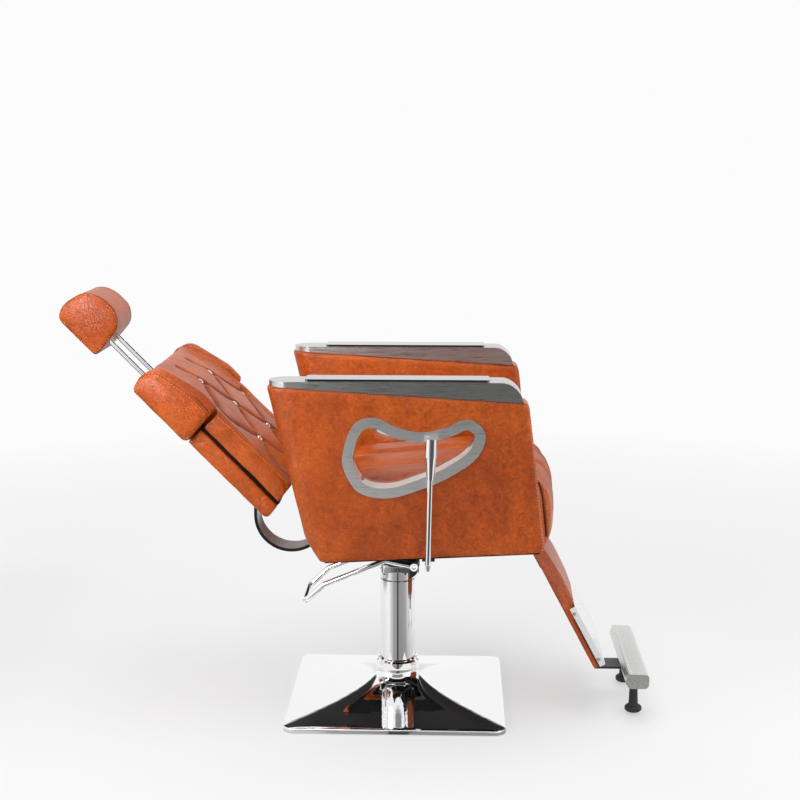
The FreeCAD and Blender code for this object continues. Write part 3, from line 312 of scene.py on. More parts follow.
# %% [markdown]
# ## Finishes
#
# Every finish is built from noise on the piece's own coordinates, so that it stays put when the piece
# moves. The leather is the main one: large soft clouds of colour where the dye took unevenly, thin
# darker creases, and a fine grain that is only felt in the highlights. On top of that, painted shade
# darkens the leather where it is pressed into pleats, grooves and folds.


# %% Leather
leather_dark = (0.300, 0.042, 0.001)
leather_mid = (0.410, 0.066, 0.002)
leather_light = (0.500, 0.098, 0.006)
# Painted shade: the near-black brown that pleats, grooves, folds and button rims are darkened towards.
fold_shade_colour = (0.075, 0.014, 0.003)


def make_leather(name):
    material, tree, shader = start_material(name, Specular_IOR_Level=0.36, Coat_Weight=0.06, Coat_Roughness=0.25)
    place = place_on(tree)
    clouds = noise_on(tree, place, 6.0, 5.0, 0.6, 0.5)
    base = ramp(tree, clouds, (0.28, leather_dark), (0.5, leather_mid), (0.74, leather_light))
    upright = noise_on(tree, place_on(tree, (1, 1, 0.4)), 24.0, 4.0, 0.6, 0.8)
    crackle = noise_on(tree, place, 62.0, 5.0, 0.72, 1.3)
    fine = noise_on(tree, place, 240.0, 2.0, 0.6)
    for source, low, high in ((upright, 0.86, 1.10), (crackle, 0.66, 1.27), (fine, 0.86, 1.11)):
        shade = ramp(tree, source, (0.3, (low, low, low)), (0.7, (high, high, high)))
        base = mix_colours(tree, 1.0, base, shade, "MULTIPLY")
    # Painted shade: the attribute that the padding pieces carry mixes the colour towards that near-black brown in
    # pleats, grooves, folds and round the buttons.
    fold_shade = add_node(tree, "ShaderNodeAttribute", {"attribute_name": "fold_shade"})
    feed(tree, shader.inputs["Base Color"], mix_colours(tree, fold_shade.outputs["Fac"], base, fold_shade_colour))
    feed(tree, shader.inputs["Roughness"], spread(tree, crackle, 0.3, 0.7, 0.29, 0.42))
    cells = add_node(tree, "ShaderNodeTexVoronoi", {"feature": "SMOOTH_F1"}, Vector=place, Scale=560.0,
                     Randomness=1.0)
    bump(tree, shader, (noise_on(tree, place, 26.0, 4.0, 0.6, 0.8), 0.0018), (crackle, 0.0011),
         (cells.outputs["Distance"], 0.00025))
    return material


leather = make_leather("tan_leather")
print("leather nodes:", len(leather.node_tree.nodes))


# %% Thread and piping
def make_thread():
    material, tree, shader = start_material("orange_thread", Roughness=0.7)
    fuzz = noise_on(tree, place_on(tree), 900.0, 2.0)
    feed(tree, shader.inputs["Base Color"], ramp(tree, fuzz, (0.3, (0.62, 0.22, 0.06)), (0.7, (0.85, 0.40, 0.15))))
    return material


def make_piping(name, dark, light):
    material, tree, shader = start_material(name, Roughness=0.5, Specular_IOR_Level=0.3)
    grain = noise_on(tree, place_on(tree), 300.0, 3.0)
    feed(tree, shader.inputs["Base Color"], ramp(tree, grain, (0.3, dark), (0.7, light)))
    bump(tree, shader, (grain, 0.0003))
    return material


thread = make_thread()
dark_piping = make_piping("dark_piping", (0.07, 0.014, 0.005), (0.13, 0.03, 0.010))
welt_leather = make_piping("welt_leather", (0.20, 0.035, 0.006), (0.30, 0.060, 0.012))


# %% Metals
def make_metal(name, colour, low, high, scale, stretch=(1, 1, 1), lines=0.0, mottle=0.05, bare=1.0):
    """A bare metal. Its roughness wanders between low and high along stretched noise."""
    material, tree, shader = start_material(name, Metallic=bare)
    marks = noise_on(tree, place_on(tree, stretch), scale, 4.0, 0.6)
    feed(tree, shader.inputs["Roughness"], spread(tree, marks, 0.3, 0.7, low, high))
    darker, lighter = (tuple(min(1.0, (1 + sign * mottle) * c) for c in colour) for sign in (-1, 1))
    feed(tree, shader.inputs["Base Color"], ramp(tree, marks, (0.3, darker), (0.7, lighter)))
    if lines:
        bump(tree, shader, (marks, lines))
    return material


brushing = (14, 700, 700)
chrome = make_metal("chrome", (0.93, 0.93, 0.94), 0.015, 0.05, 14.0, mottle=0.01)
pressed = make_metal("pressed_chrome", (0.93, 0.93, 0.94), 0.015, 0.04, 5.0, lines=0.0010, mottle=0.01)
brushed = make_metal("brushed_steel", (0.60, 0.595, 0.58), 0.24, 0.36, 1.0, brushing, 0.00006)
pale_brushed = make_metal("pale_brushed_steel", (0.88, 0.88, 0.86), 0.26, 0.40, 1.0, brushing, 0.00006)
soft_chrome = make_metal("soft_chrome", (0.90, 0.90, 0.91), 0.14, 0.22, 14.0, mottle=0.01, bare=0.4)
satin = make_metal("satin_aluminium", (0.68, 0.68, 0.67), 0.20, 0.34, 1.0, (700, 8, 700), 0.00005)
zinc = make_metal("zinc_plate", (0.62, 0.63, 0.62), 0.25, 0.42, 60.0)
bronze = make_metal("bronze", (0.58, 0.38, 0.17), 0.22, 0.35, 40.0)
print("the brushing stretches its noise by", brushing)


# %% Steel with painted edges
painted_edge = 0.0025


def make_edged_steel():
    """Brushed on its broad faces, black on its two narrow edges, which lie furthest from the middle."""
    material, tree, shader = start_material("edged_steel", Metallic=0.55)
    marks = noise_on(tree, place_on(tree, (700, 14, 700)), 1.0, 4.0, 0.6)
    split = add_node(tree, "ShaderNodeSeparateXYZ", Vector=place_on(tree))
    across = work_out(tree, "ABSOLUTE", split.outputs["Y"])
    edge_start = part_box("back_strap")[1].y - painted_edge
    on_edge = spread(tree, across, edge_start, edge_start + 0.0004, 0.0, 1.0)
    bare = ramp(tree, marks, (0.3, (0.62, 0.62, 0.60)), (0.7, (0.72, 0.72, 0.70)))
    feed(tree, shader.inputs["Base Color"], mix_colours(tree, on_edge, bare, (0.012, 0.012, 0.012)))
    feed(tree, shader.inputs["Roughness"], spread(tree, marks, 0.3, 0.7, 0.26, 0.38))
    return material


edged_steel = make_edged_steel()


# %% Paints, rubber, plastic and wood
def make_coating(name, dark, light, low, high, scale, height, **sockets):
    """A dark coating whose colour and gloss wander a little."""
    material, tree, shader = start_material(name, **sockets)
    place = place_on(tree)
    patches = noise_on(tree, place, scale, 5.0, 0.6)
    feed(tree, shader.inputs["Base Color"], ramp(tree, patches, (0.3, dark), (0.7, light)))
    feed(tree, shader.inputs["Roughness"], spread(tree, patches, 0.3, 0.7, low, high))
    bump(tree, shader, (noise_on(tree, place, scale * 12, 2.0), height))
    return material


black_paint = make_coating("black_paint", (0.010, 0.010, 0.011), (0.020, 0.020, 0.022), 0.30, 0.42, 25.0, 0.0002)
cast_iron = make_coating("cast_iron", (0.035, 0.034, 0.033), (0.07, 0.065, 0.06), 0.6, 0.8, 40.0, 0.0008)
rubber = make_coating("black_rubber", (0.010, 0.010, 0.010), (0.022, 0.021, 0.021), 0.55, 0.7, 60.0, 0.0003)
plastic = make_coating("black_plastic", (0.010, 0.010, 0.011), (0.018, 0.018, 0.019), 0.16, 0.26, 30.0, 0.00008)
lacquer = make_coating("black_lacquer", (0.002, 0.002, 0.002), (0.004, 0.004, 0.004), 0.05, 0.10, 30.0, 0.00002,
                       Coat_Weight=1.0, Coat_Roughness=0.06, Specular_IOR_Level=1.0)
strip_skin = make_coating("dark_strip", (0.006, 0.003, 0.002), (0.012, 0.006, 0.004), 0.45, 0.58, 60.0, 0.0003,
                          Specular_IOR_Level=0.08)
# Near-black felt for the cloths under the seat and arms: painted shade for the dark underside.
shade_felt = make_coating("black_shade_felt", (0.006, 0.006, 0.006), (0.014, 0.014, 0.014), 0.85, 0.95, 260.0, 0.0006,
                    Specular_IOR_Level=0.2)


def make_plywood():
    """Birch plywood: long grain with thin layers on the edge."""
    material, tree, shader = start_material("plywood", Roughness=0.6)
    grain = noise_on(tree, place_on(tree, (3, 60, 900)), 1.0, 4.0, 0.6, 0.4)
    feed(tree, shader.inputs["Base Color"], ramp(tree, grain, (0.3, (0.42, 0.27, 0.14)), (0.7, (0.62, 0.44, 0.26))))
    bump(tree, shader, (grain, 0.0003))
    return material


plywood = make_plywood()

# %% Finishes on the plain solids
finishes = {"chrome": chrome, "brushed_steel": brushed, "steel": zinc, "black_steel": black_paint,
            "cast_base": cast_iron, "bronze": bronze, "black_rubber": rubber, "black_plastic": plastic,
            "plywood": plywood, "leather": leather}
own_finish = {"back_strap": edged_steel, "arm_pad_right": lacquer, "arm_pad_left": lacquer,
              "back_strip": strip_skin, "footrest_bar": satin, "bar_caps": satin,
              "arm_trim_right": pale_brushed, "arm_trim_left": pale_brushed, "kick_plate": soft_chrome}
slot_of = {part["node"]: part["material_slot"] for part in frame["record"]["subparts"]}
for name, obj in nodes.items():
    for slot in obj.material_slots:
        slot.material = own_finish.get(name, finishes[slot_of[name]])
print("finishes:", len(finishes) + len(own_finish))

# %% [markdown]
# ## Tools for pieces
#
# A piece is a mesh at the origin with its place in its points. It rides on a body of the chair, and
# where it stands for one of the plain solids, those solids are hidden.


# %% Helpers for meshes
def add_piece(name, verts, faces, material):
    mesh = bpy.data.meshes.new(name)
    mesh.from_pydata([tuple(v) for v in verts], [], faces)
    mesh.materials.append(material)
    mesh.shade_smooth()
    return put(name, mesh)


def set_on(obj, body, slot, *replaced):
    """Lets a finished piece ride on a body and stand for the nodes named."""
    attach(obj, body)
    if replaced:
        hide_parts(*replaced)
    return obj


def edit(obj, change):
    """Opens the piece's mesh, lets change work on it, and writes it back."""
    bm = bmesh.new()
    bm.from_mesh(obj.data)
    change(bm)
    bm.to_mesh(obj.data)
    bm.free()


def turn_out(obj):
    """Merges doubles and turns all faces outwards."""
    def change(bm):
        bmesh.ops.remove_doubles(bm, verts=bm.verts, dist=1e-6)
        bmesh.ops.recalc_face_normals(bm, faces=bm.faces)

    edit(obj, change)


def sharpen(obj, degrees):
    """Marks edges that turn more than that as sharp, so smooth shading stops there."""
    def change(bm):
        for edge in bm.edges:
            edge.smooth = not (len(edge.link_faces) == 2 and edge.calc_face_angle(0) > math.radians(degrees))

    edit(obj, change)


def loft(name, rings, material, closed=False):
    """Skins rings of points. Closed joins the last ring to the first, otherwise both ends are filled."""
    count = len(rings[0])
    verts = [p for ring in rings for p in ring]
    faces = []
    for i in range(len(rings) if closed else len(rings) - 1):
        a, b = i * count, (i + 1) % len(rings) * count
        faces += [(a + k, a + (k + 1) % count, b + (k + 1) % count, b + k) for k in range(count)]
    if not closed:
        faces += [tuple(reversed(range(count))), tuple(range(len(verts) - count, len(verts)))]
    obj = add_piece(name, verts, faces, material)
    turn_out(obj)
    return obj


def turned(name, profile, material, steps):
    """A piece turned about an upright axis: profile is a list of (radius, height)."""
    side = UP.orthogonal().normalized()
    across = UP.cross(side)
    turns = [2 * math.pi * k / steps for k in range(steps)]
    return loft(name, [[UP * height + (side * math.cos(a) + across * math.sin(a)) * radius for a in turns]
                       for radius, height in profile], material)


# %% [markdown]
# ## Padding
#
# Padded leather isn't drawn, it is blown up. A copy of the plain solid is remeshed into even squares,
# drawn in a little, and given to the cloth solver with air pressure inside. Points under a seam or on
# hard backing are pinned, so the leather swells between them. The travel is capped, so that a pad
# never leaves the room it has.


# %% Helpers for soft pieces
def bake(obj):
    """Applies the object's modifiers to its mesh."""
    graph = bpy.context.evaluated_depsgraph_get()
    graph.update()
    mesh = bpy.data.meshes.new_from_object(obj.evaluated_get(graph))
    obj.modifiers.clear()
    obj.data = mesh


def soft_start(solids, name, voxel, shrink=(0, 0, 0)):
    """A remeshed copy of the plain soft solids named, drawn in by shrink along X, Y and Z."""
    obj = put(name, bpy.data.meshes.new(name))
    bm = bmesh.new()
    for solid in solids:
        bm.from_mesh(nodes[solid].data)
    bm.to_mesh(obj.data)
    bm.free()
    obj.data.materials.append(leather)
    turn_out(obj)
    remesh = obj.modifiers.new("even", "REMESH")
    remesh.mode = "VOXEL"
    remesh.voxel_size = voxel
    remesh.adaptivity = 0.0
    bake(obj)

    def relax(bm):
        for _ in range(2):
            bmesh.ops.smooth_vert(bm, verts=bm.verts, factor=0.5, use_axis_x=True, use_axis_y=True, use_axis_z=True)
        bm.normal_update()
        for vert in bm.verts:
            vert.co -= vert.normal * Vector(shrink)

    edit(obj, relax)
    obj.data.shade_smooth()
    return obj


def read_points(mesh, what="co"):
    """The mesh's points, or their normals."""
    points = np.zeros(len(mesh.vertices) * 3)
    mesh.vertices.foreach_get(what, points)
    return points.reshape(-1, 3)


def write_points(mesh, points):
    mesh.vertices.foreach_set("co", points.ravel())
    mesh.update()


leather_cloth = {"quality": 4, "mass": 0.4, "tension_stiffness": 25, "compression_stiffness": 25,
                 "shear_stiffness": 12, "bending_stiffness": 1.0, "use_pressure": True, "vertex_group_mass": "held"}
last_frame = 20


def inflate(obj, held, travel, pressure=4.0):
    """Blows the piece up as cloth. held is how firmly its points are pinned, 0 to 1, or a function for it."""
    rest = read_points(obj.data)
    weights = np.clip(held(rest) if callable(held) else np.full(len(rest), held), 0, 1)
    group = obj.vertex_groups.new(name="held")
    for level in np.unique(np.round(weights, 1)):
        if level > 0:
            members = np.nonzero(np.round(weights, 1) == level)[0]
            group.add([int(i) for i in members], float(level), "REPLACE")
    cloth = obj.modifiers.new("cloth", "CLOTH")
    for label, value in leather_cloth.items():
        setattr(cloth.settings, label, value)
    cloth.settings.uniform_pressure_force = pressure
    cloth.settings.effector_weights.gravity = 0
    cloth.point_cache.frame_start = 1
    cloth.point_cache.frame_end = last_frame
    for step in range(1, last_frame + 1):
        scene.frame_set(step)
    bake(obj)
    scene.frame_set(1)
    moved = read_points(obj.data) - rest
    length = np.linalg.norm(moved, axis=1, keepdims=True)
    write_points(obj.data, rest + moved * np.minimum(1.0, travel / np.maximum(length, 1e-9)))
    obj.vertex_groups.clear()
    print(obj.name, "points", len(rest), "moved up to", round(float(length.max()) * 1000, 1), "mm")
    finer = obj.modifiers.new("finer", "SUBSURF")
    finer.levels = finer.render_levels = 1
    bake(obj)
    obj.data.shade_smooth()


def paint_shade(obj, amounts):
    """Marks how much painted shade each point gets, 0 to 1: the leather darkens there as shade would darken a fold."""
    marks = obj.data.attributes.get("fold_shade") or obj.data.attributes.new("fold_shade", "FLOAT", "POINT")
    old = np.zeros(len(obj.data.vertices))
    marks.data.foreach_get("value", old)
    marks.data.foreach_set("value", np.maximum(old, np.clip(amounts, 0, 1)))


def press(obj, paths, depth, width, dark=0.45):
    """Presses grooves into a piece along paths, depth deep and width wide, and paints shade into them, as strong as
    dark.
    """
    points = read_points(obj.data)
    nearest = np.full(len(points), 1e9)
    for path in paths:
        path = np.array([tuple(p) for p in path])
        low, high = path.min(0) - 3 * width, path.max(0) + 3 * width
        close = np.nonzero(np.all((points > low) & (points < high), axis=1))[0]
        for start in range(0, len(path), 60):
            part = path[start:start + 60]
            gap = np.linalg.norm(points[close, None, :] - part[None, :, :], axis=2).min(1)
            nearest[close] = np.minimum(nearest[close], gap)
    dip = depth * np.exp(-(nearest / (width / 2)) ** 2)
    # Painted shade along the groove, strongest in its middle.
    paint_shade(obj, dark * np.exp(-(nearest / (0.35 * width)) ** 2))
    write_points(obj.data, points - read_points(obj.data, "normal") * dip[:, None])


def push(obj, direction, amounts):
    """Moves the points along one direction, each by its own amount."""
    write_points(obj.data, read_points(obj.data) + np.outer(amounts, tuple(direction)))


def crown(obj, height, side):
    """Domes the piece's upright face on one side: height out in the middle, nothing at its edges."""
    points = read_points(obj.data)
    face = side * points[:, 1] > (side * points[:, 1]).max() - 0.012
    thick, _, up = back_local(points)
    spans = [2 * (v - v[face].min()) / (v[face].max() - v[face].min()) - 1 for v in (thick, up)]
    dome = np.prod([np.clip(1 - span ** 2, 0, 1) ** 0.6 for span in spans], axis=0)
    push(obj, (0, side, 0), face * height * (dome - 0.55))


def wrinkle(obj, height, size, seed=0.0):
    """Moves the surface by soft noise, as leather lies over foam."""
    points = read_points(obj.data)
    lift = np.array([noise.noise(Vector(p) / size + Vector((seed, 0, 0))) for p in points])
    write_points(obj.data, points + read_points(obj.data, "normal") * (lift * height)[:, None])


# %% Helpers for lines on pieces
line_step = 0.003


def even(line):
    """Points spaced evenly along a line."""
    lengths = [0.0]
    for a, b in zip(line, line[1:]):
        lengths.append(lengths[-1] + (b - a).length)
    spots = np.linspace(0, lengths[-1], max(2, int(lengths[-1] / line_step)))
    columns = [np.interp(spots, lengths, [p[k] for p in line]) for k in range(3)]
    return [Vector(p) for p in zip(*columns)]


def slice_line(obj, y, keep=None):
    """The longest line in which an upright lengthwise plane at y meets the piece."""
    bm = bmesh.new()
    bm.from_mesh(obj.data)
    cut = bmesh.ops.bisect_plane(bm, geom=bm.verts[:] + bm.edges[:] + bm.faces[:], plane_co=Vector((0, y, 0)),
                                 plane_no=Vector((0, 1, 0)))
    links = {}
    for edge in cut["geom_cut"]:
        if isinstance(edge, bmesh.types.BMEdge):
            a, b = edge.verts
            if keep is None or (keep(a.co) and keep(b.co)):
                links.setdefault(a, []).append(b)
                links.setdefault(b, []).append(a)
    lines = []
    left = set(links)
    while left:
        ends = [v for v in left if sum(n in left for n in links[v]) == 1]
        here = first = min(ends or left, key=lambda v: tuple(v.co))
        line = []
        while here is not None:
            last = here
            left.discard(here)
            line.append(here.co.copy())
            here = next((n for n in links[here] if n in left), None)
        if not ends and first in links[last]:
            line.append(line[0].copy())
        lines.append(line)
    bm.free()
    return even(max(lines, key=lambda line: sum((b - a).length for a, b in zip(line, line[1:]))))


def slices(obj, y, keep=None):
    """The same slice line at y on the right side and on the left."""
    return [slice_line(obj, side * y, keep) for side in (-1, 1)]


def side_lines(obj, reach, spots):
    """Lines on both sides of a piece, where rays from out at reach, aimed across at (x, z) spots, meet it."""
    skin = BVHTree.FromObject(obj, bpy.context.evaluated_depsgraph_get())
    lines = []
    for side in (-1, 1):
        hits = [skin.ray_cast(Vector((x, side * reach, z)), Vector((0, -side, 0)))[0] for x, z in spots]
        lines.append(even([hit for hit in hits if hit]))
    return lines


# %% [markdown]
# ## Stitches
#
# A row of stitches is the same short thread repeated along a seam. Geometry Nodes do that well: the
# seam's line is cut into even lengths, one thread lies on each cut, turned along the seam.


# %% A tree of stitches
def new_tree(name, **sockets):
    tree = bpy.data.node_groups.new(name, "GeometryNodeTree")
    tree.interface.new_socket("Geometry", in_out="OUTPUT", socket_type="NodeSocketGeometry")
    for label, kind in sockets.items():
        tree.interface.new_socket(label, in_out="INPUT", socket_type="NodeSocket" + kind)
    return tree, tree.nodes.new("NodeGroupInput"), tree.nodes.new("NodeGroupOutput")


def repeat(tree, steps, part, direction, material, result, **scale):
    """Ends a tree: part stands on every point with its Z axis along direction, as real mesh in one material."""
    align = add_node(tree, "FunctionNodeAlignRotationToVector", {"axis": "Z"}, Vector=direction)
    steps += [add_node(tree, "GeometryNodeInstanceOnPoints", Instance=part, Rotation=align.outputs[0], **scale),
              add_node(tree, "GeometryNodeRealizeInstances"),
              add_node(tree, "GeometryNodeSetMaterial", Material=material), result]
    for before, after in zip(steps, steps[1:]):
        tree.links.new(before.outputs[0], after.inputs[0])


def make_stitch_tree():
    tree, source, result = new_tree("stitches", Seam="Geometry", Pitch="Float", Length="Float", Thickness="Float",
                                    Thread="Material")
    given = source.outputs
    ball = add_node(tree, "GeometryNodeMeshUVSphere", Segments=6, Rings=4,
                    Radius=work_out(tree, "MULTIPLY", given["Thickness"], 0.5))
    scale = add_node(tree, "ShaderNodeCombineXYZ", X=1.0, Y=1.0,
                     Z=work_out(tree, "DIVIDE", given["Length"], given["Thickness"]))
    steps = [source, add_node(tree, "GeometryNodeMeshToCurve"),
             add_node(tree, "GeometryNodeResampleCurve", {"mode": "LENGTH"}, Length=given["Pitch"])]
    repeat(tree, steps, ball.outputs["Mesh"], add_node(tree, "GeometryNodeInputTangent").outputs[0],
           given["Thread"], result, Scale=scale.outputs[0])
    return tree


def grow(name, mesh, tree, **values):
    """Runs a geometry tree on a mesh and keeps the result as a plain mesh."""
    obj = put(name, mesh)
    modifier = obj.modifiers.new("grow", "NODES")
    modifier.node_group = tree
    for item in tree.interface.items_tree:
        if item.in_out == "INPUT" and item.name in values:
            modifier[item.identifier] = values[item.name]
    bake(obj)
    obj.data.shade_smooth()
    return obj


stitch_tree = make_stitch_tree()
stitch_pitch = 0.0068
stitch_length = 0.0046
stitch_thick = 0.0011


def sew(name, lines, body):
    """One object with the stitches of all lines, riding on body."""
    mesh = bpy.data.meshes.new(name)
    verts, edges = [], []
    for line in lines:
        edges += [(len(verts) + i, len(verts) + i + 1) for i in range(len(line) - 1)]
        verts += [tuple(p) for p in line]
    mesh.from_pydata(verts, edges, [])
    obj = grow(name, mesh, stitch_tree, Pitch=stitch_pitch, Length=stitch_length, Thickness=stitch_thick,
               Thread=thread)
    print(name, "triangles:", len(obj.data.polygons))
    set_on(obj, body, "leather")


def tube(name, lines, radius, material, body):
    """A round cord along each line, riding on body."""
    curve = bpy.data.curves.new(name, "CURVE")
    curve.dimensions = "3D"
    curve.bevel_depth = radius
    curve.bevel_resolution = 1
    curve.use_fill_caps = True
    for line in lines:
        closed = (line[0] - line[-1]).length < 1e-5
        line = line[:-1] if closed else line
        spline = curve.splines.new("POLY")
        spline.points.add(len(line) - 1)
        for point, spot in zip(spline.points, line):
            point.co = (*spot, 1)
        spline.use_cyclic_u = closed
    route = put(name, curve)
    mesh = bpy.data.meshes.new_from_object(route)
    bpy.data.objects.remove(route)
    mesh.materials.clear()
    mesh.materials.append(material)
    mesh.shade_smooth()
    set_on(put(name, mesh), body, "leather")


# %% [markdown]
# ## The base
#
# The real cover is one sheet of steel, pressed over a former and then chromed: a square that sweeps up
# in a hollow curve to a round neck. A loft of rounded squares follows that rule. Each ring has its points
# at the same angles, closer together near the corners, so that the points of all rings line up.

# %% Base cover
base_low, base_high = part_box("base_cover")
base_half = base_high.x
neck_radius = 0.050
base_corner = 0.028
rim_top = 0.012
rim_edge = 0.0015
neck_top = base_high.z
sheet = 0.0025
corner_rays = 22


def square_reach(angle, half, corner):
    """How far a rounded square reaches from its centre at an angle."""
    angle = abs((angle + math.pi / 4) % (math.pi / 2) - math.pi / 4)
    flat = half - corner
    if half * math.tan(angle) <= flat:
        return half / math.cos(angle)
    along = flat * (math.cos(angle) + math.sin(angle))
    return along + math.sqrt(max(0.0, along ** 2 - 2 * flat ** 2 + corner ** 2))


def square_ring(half, corner, z):
    ring = []
    for quarter in range(4):
        for k in range(2 * corner_rays):
            u = (k + 0.5) / corner_rays - 1
            angle = math.pi / 4 * (1 + math.copysign(abs(u) ** 1.8, u)) + quarter * math.pi / 2
            reach = square_reach(angle, half, corner)
            ring.append(Vector((reach * math.cos(angle), reach * math.sin(angle), z)))
    return ring


def base_rings(inset, steps):
    """The sweep from the square rim up to the round neck, set in by inset."""
    rings = []
    for i in range(steps + 1):
        share = i / steps
        half = neck_radius + (base_half - neck_radius) * (1 - share) ** 3
        corner = base_corner + (neck_radius - base_corner) * math.sqrt(share)
        rings.append(square_ring(half - inset, min(corner, half - inset - 1e-5),
                                 rim_top + (neck_top - rim_top) * share - inset * share ** 0.3))
    return rings


def rim_rings(*corners):
    return [square_ring(base_half - inset, base_corner, z) for inset, z in corners]


rings = rim_rings((0, base_low.z), (0, rim_top - rim_edge), (rim_edge * 0.3, rim_top - rim_edge * 0.3),
                  (rim_edge, rim_top))
rings += base_rings(0, 44)[1:] + base_rings(sheet, 16)[:0:-1]
rings += rim_rings((sheet, rim_top - sheet), (sheet, base_low.z))
base_cover = loft("base_cover_pressed", rings, pressed, closed=True)
sharpen(base_cover, 50)
set_on(base_cover, "base", "chrome", "base_cover")
print("base cover faces:", len(base_cover.data.polygons))

# %% [markdown]
# ## The seat cushion
#
# Three lengthwise panels of leather over foam, joined by two seams. The seams are pinned while the
# panels swell, then a groove and its thread are laid into each.

# %% Seat cushion
seam_y = 0.075
beside_seam = 0.006
board_top = 0.50
roll_start = 0.31
seat_low, seat_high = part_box("seat_cushion")
seat = soft_start(["seat_cushion"], "seat_padding", 0.005, (0.001, 0.001, 0.001))


def seat_hold(p):
    on_seam = np.exp(-((np.abs(p[:, 1]) - seam_y) / 0.006) ** 2)
    below = (p[:, 2] < seat_low.z + 0.02) | ((p[:, 2] < 0.485) & (p[:, 0] < roll_start))
    return np.maximum(on_seam * 0.95, below * 1.0)


def above_board(p):
    return p.z > board_top or p.x > roll_start


inflate(seat, seat_hold, travel=0.007)
wrinkle(seat, 0.0012, 0.06)
press(seat, slices(seat, seam_y, above_board), 0.004, 0.008)
boxing_route = [(0.3065, 0.576), (0.3140, 0.572), (0.3190, 0.562), (0.3225, 0.545), (0.3260, 0.520),
                (0.3290, 0.495), (0.3320, 0.470), (0.3335, 0.452)]


def seat_boxing(shift=0.0):
    """The upright seams where the front roll meets the sides, from their top bends down."""
    return side_lines(seat, seat_high.y + 0.03, [(x + shift, z) for x, z in boxing_route])


# Strong painted shade in the grooves of the boxing seams.
press(seat, seat_boxing(), 0.004, 0.008, dark=0.9)
set_on(seat, "seat", "leather", "seat_cushion")
# A dark cord in each boxing seam, which also stands for the shade deep in its recess.
tube("seat_boxing", seat_boxing(), 0.0022, dark_piping, "seat")
sew("seat_stitches", [slice_line(seat, side * seam_y + shift, above_board)
                      for side in (-1, 1) for shift in (-beside_seam, beside_seam)] + seat_boxing(beside_seam), "seat")

# %% [markdown]
# ## The arms
#
# Each arm is a wooden frame under thin padding, so it stays nearly flat, and only its edges are soft.
# One arm is made and the other is its mirror image, as the workshop would do it.

# %% Arm panels
arm = soft_start(["arm_panel_right"], "arm_padding_right", 0.005, (-0.0016, 0.001, -0.001))
inflate(arm, 0.55, travel=0.0022, pressure=3.0)
wrinkle(arm, 0.0007, 0.05, 3.0)
arm_seam_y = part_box("arm_panel_right")[0].y + 0.0035
arm_seam_foot = 0.445
arm_rear = (-0.134, 0.4115)
arm_rear_lean = 0.262


def mirrored(obj, name):
    """A copy of a piece on the other side of the chair."""
    mesh = obj.data.copy()
    write_points(mesh, read_points(mesh) * np.array([1, -1, 1]))
    mesh.flip_normals()
    return put(name, mesh)


def stitched_part(p):
    """Whether a point lies above the seam's foot and in front of the arm's sloping rear edge."""
    return p.z > arm_seam_foot and p.x > arm_rear[0] - arm_rear_lean * (p.z - arm_rear[1])


for obj, side, y in ((arm, "right", arm_seam_y), (mirrored(arm, "arm_padding_left"), "left", -arm_seam_y)):
    set_on(obj, "seat", "leather", "arm_panel_" + side)
    sew("arm_stitches_" + side, [slice_line(obj, y, stitched_part)], "seat")

# %% [markdown]
# ## Black cloth underneath, as painted shade
#
# The open undersides of the seat and of the arms get no leather: a thin black cloth is stapled over each.
# Its black is painted shade: it stands for the shade under the chair, and it is what the polished base
# mirrors. Each cloth is a grid that hangs through a little between its edges.

# %% Cloth of painted shade under the seat and arms
cloth_steps = (36, 18)
staple_edge = 0.006
staple_gap = 0.0004


def shade_cloth_under(name, rear, front, y_low, y_high, sag):
    """A black cloth of painted shade from (x, z) rear to front, stapled along its edges."""
    steps_x, steps_y = cloth_steps
    verts = []
    for i in range(steps_x + 1):
        for j in range(steps_y + 1):
            u, v = i / steps_x, j / steps_y
            low = sag * (4 * u * (1 - u) * 4 * v * (1 - v)) ** 0.5
            ripple = 0.3 * sag * noise.noise(Vector((9 * u, 5 * v, rear[1] * 50))) * min(1, 8 * v * (1 - v))
            verts.append(Vector((rear[0] + (front[0] - rear[0]) * u, y_low + (y_high - y_low) * v,
                                 rear[1] + (front[1] - rear[1]) * u - low - ripple)))
    count = steps_y + 1
    faces = [(i * count + j, i * count + j + 1, (i + 1) * count + j + 1, (i + 1) * count + j)
             for i in range(steps_x) for j in range(steps_y)]
    obj = add_piece(name, verts, faces, shade_felt)
    obj.modifiers.new("thick", "SOLIDIFY").thickness = 0.0006
    bake(obj)
    turn_out(obj)
    obj.data.shade_smooth()
    set_on(obj, "seat", "black_rubber")


board_low, board_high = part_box("seat_board")
board_under = board_low.z - staple_gap
shade_cloth_under("seat_under_cloth", (board_low.x + staple_edge, board_under), (board_high.x - staple_edge, board_under),
            -board_high.y + staple_edge, board_high.y - staple_edge, 0.003)
arm_bottom_rear = (-0.146, 0.4107)
arm_bottom_front = (0.314, 0.4352)
for side, y_low, y_high in (("right", -0.306, -0.238), ("left", 0.238, 0.306)):
    shade_cloth_under("arm_under_cloth_" + side, arm_bottom_rear, arm_bottom_front, y_low, y_high, 0.0006)

# %% [markdown]
# ## The back
#
# The tufted front is held down by buttons and by pleats between them. It is inflated with the
# pleats and the buttons pinned, so it bulges into soft diamonds.

# %% The back's own directions
back_up = Vector(next(j["axis"] for j in frame["joints"] if j["name"] == "headrest_slide"))
back_out = Vector((back_up.z, 0, -back_up.x))
back_foot = Vector((-0.277, 0, 0.485))


def back_place(thick, y, up):
    """A point of the back from its thickness, place across and height up it."""
    return back_foot + back_out * thick + Vector((0, y, 0)) + back_up * up


def back_local(points):
    """Thickness, place across and height up the back of many points."""
    away = points - np.array(back_foot)
    return away @ np.array(back_out), away[:, 1], away @ np.array(back_up)


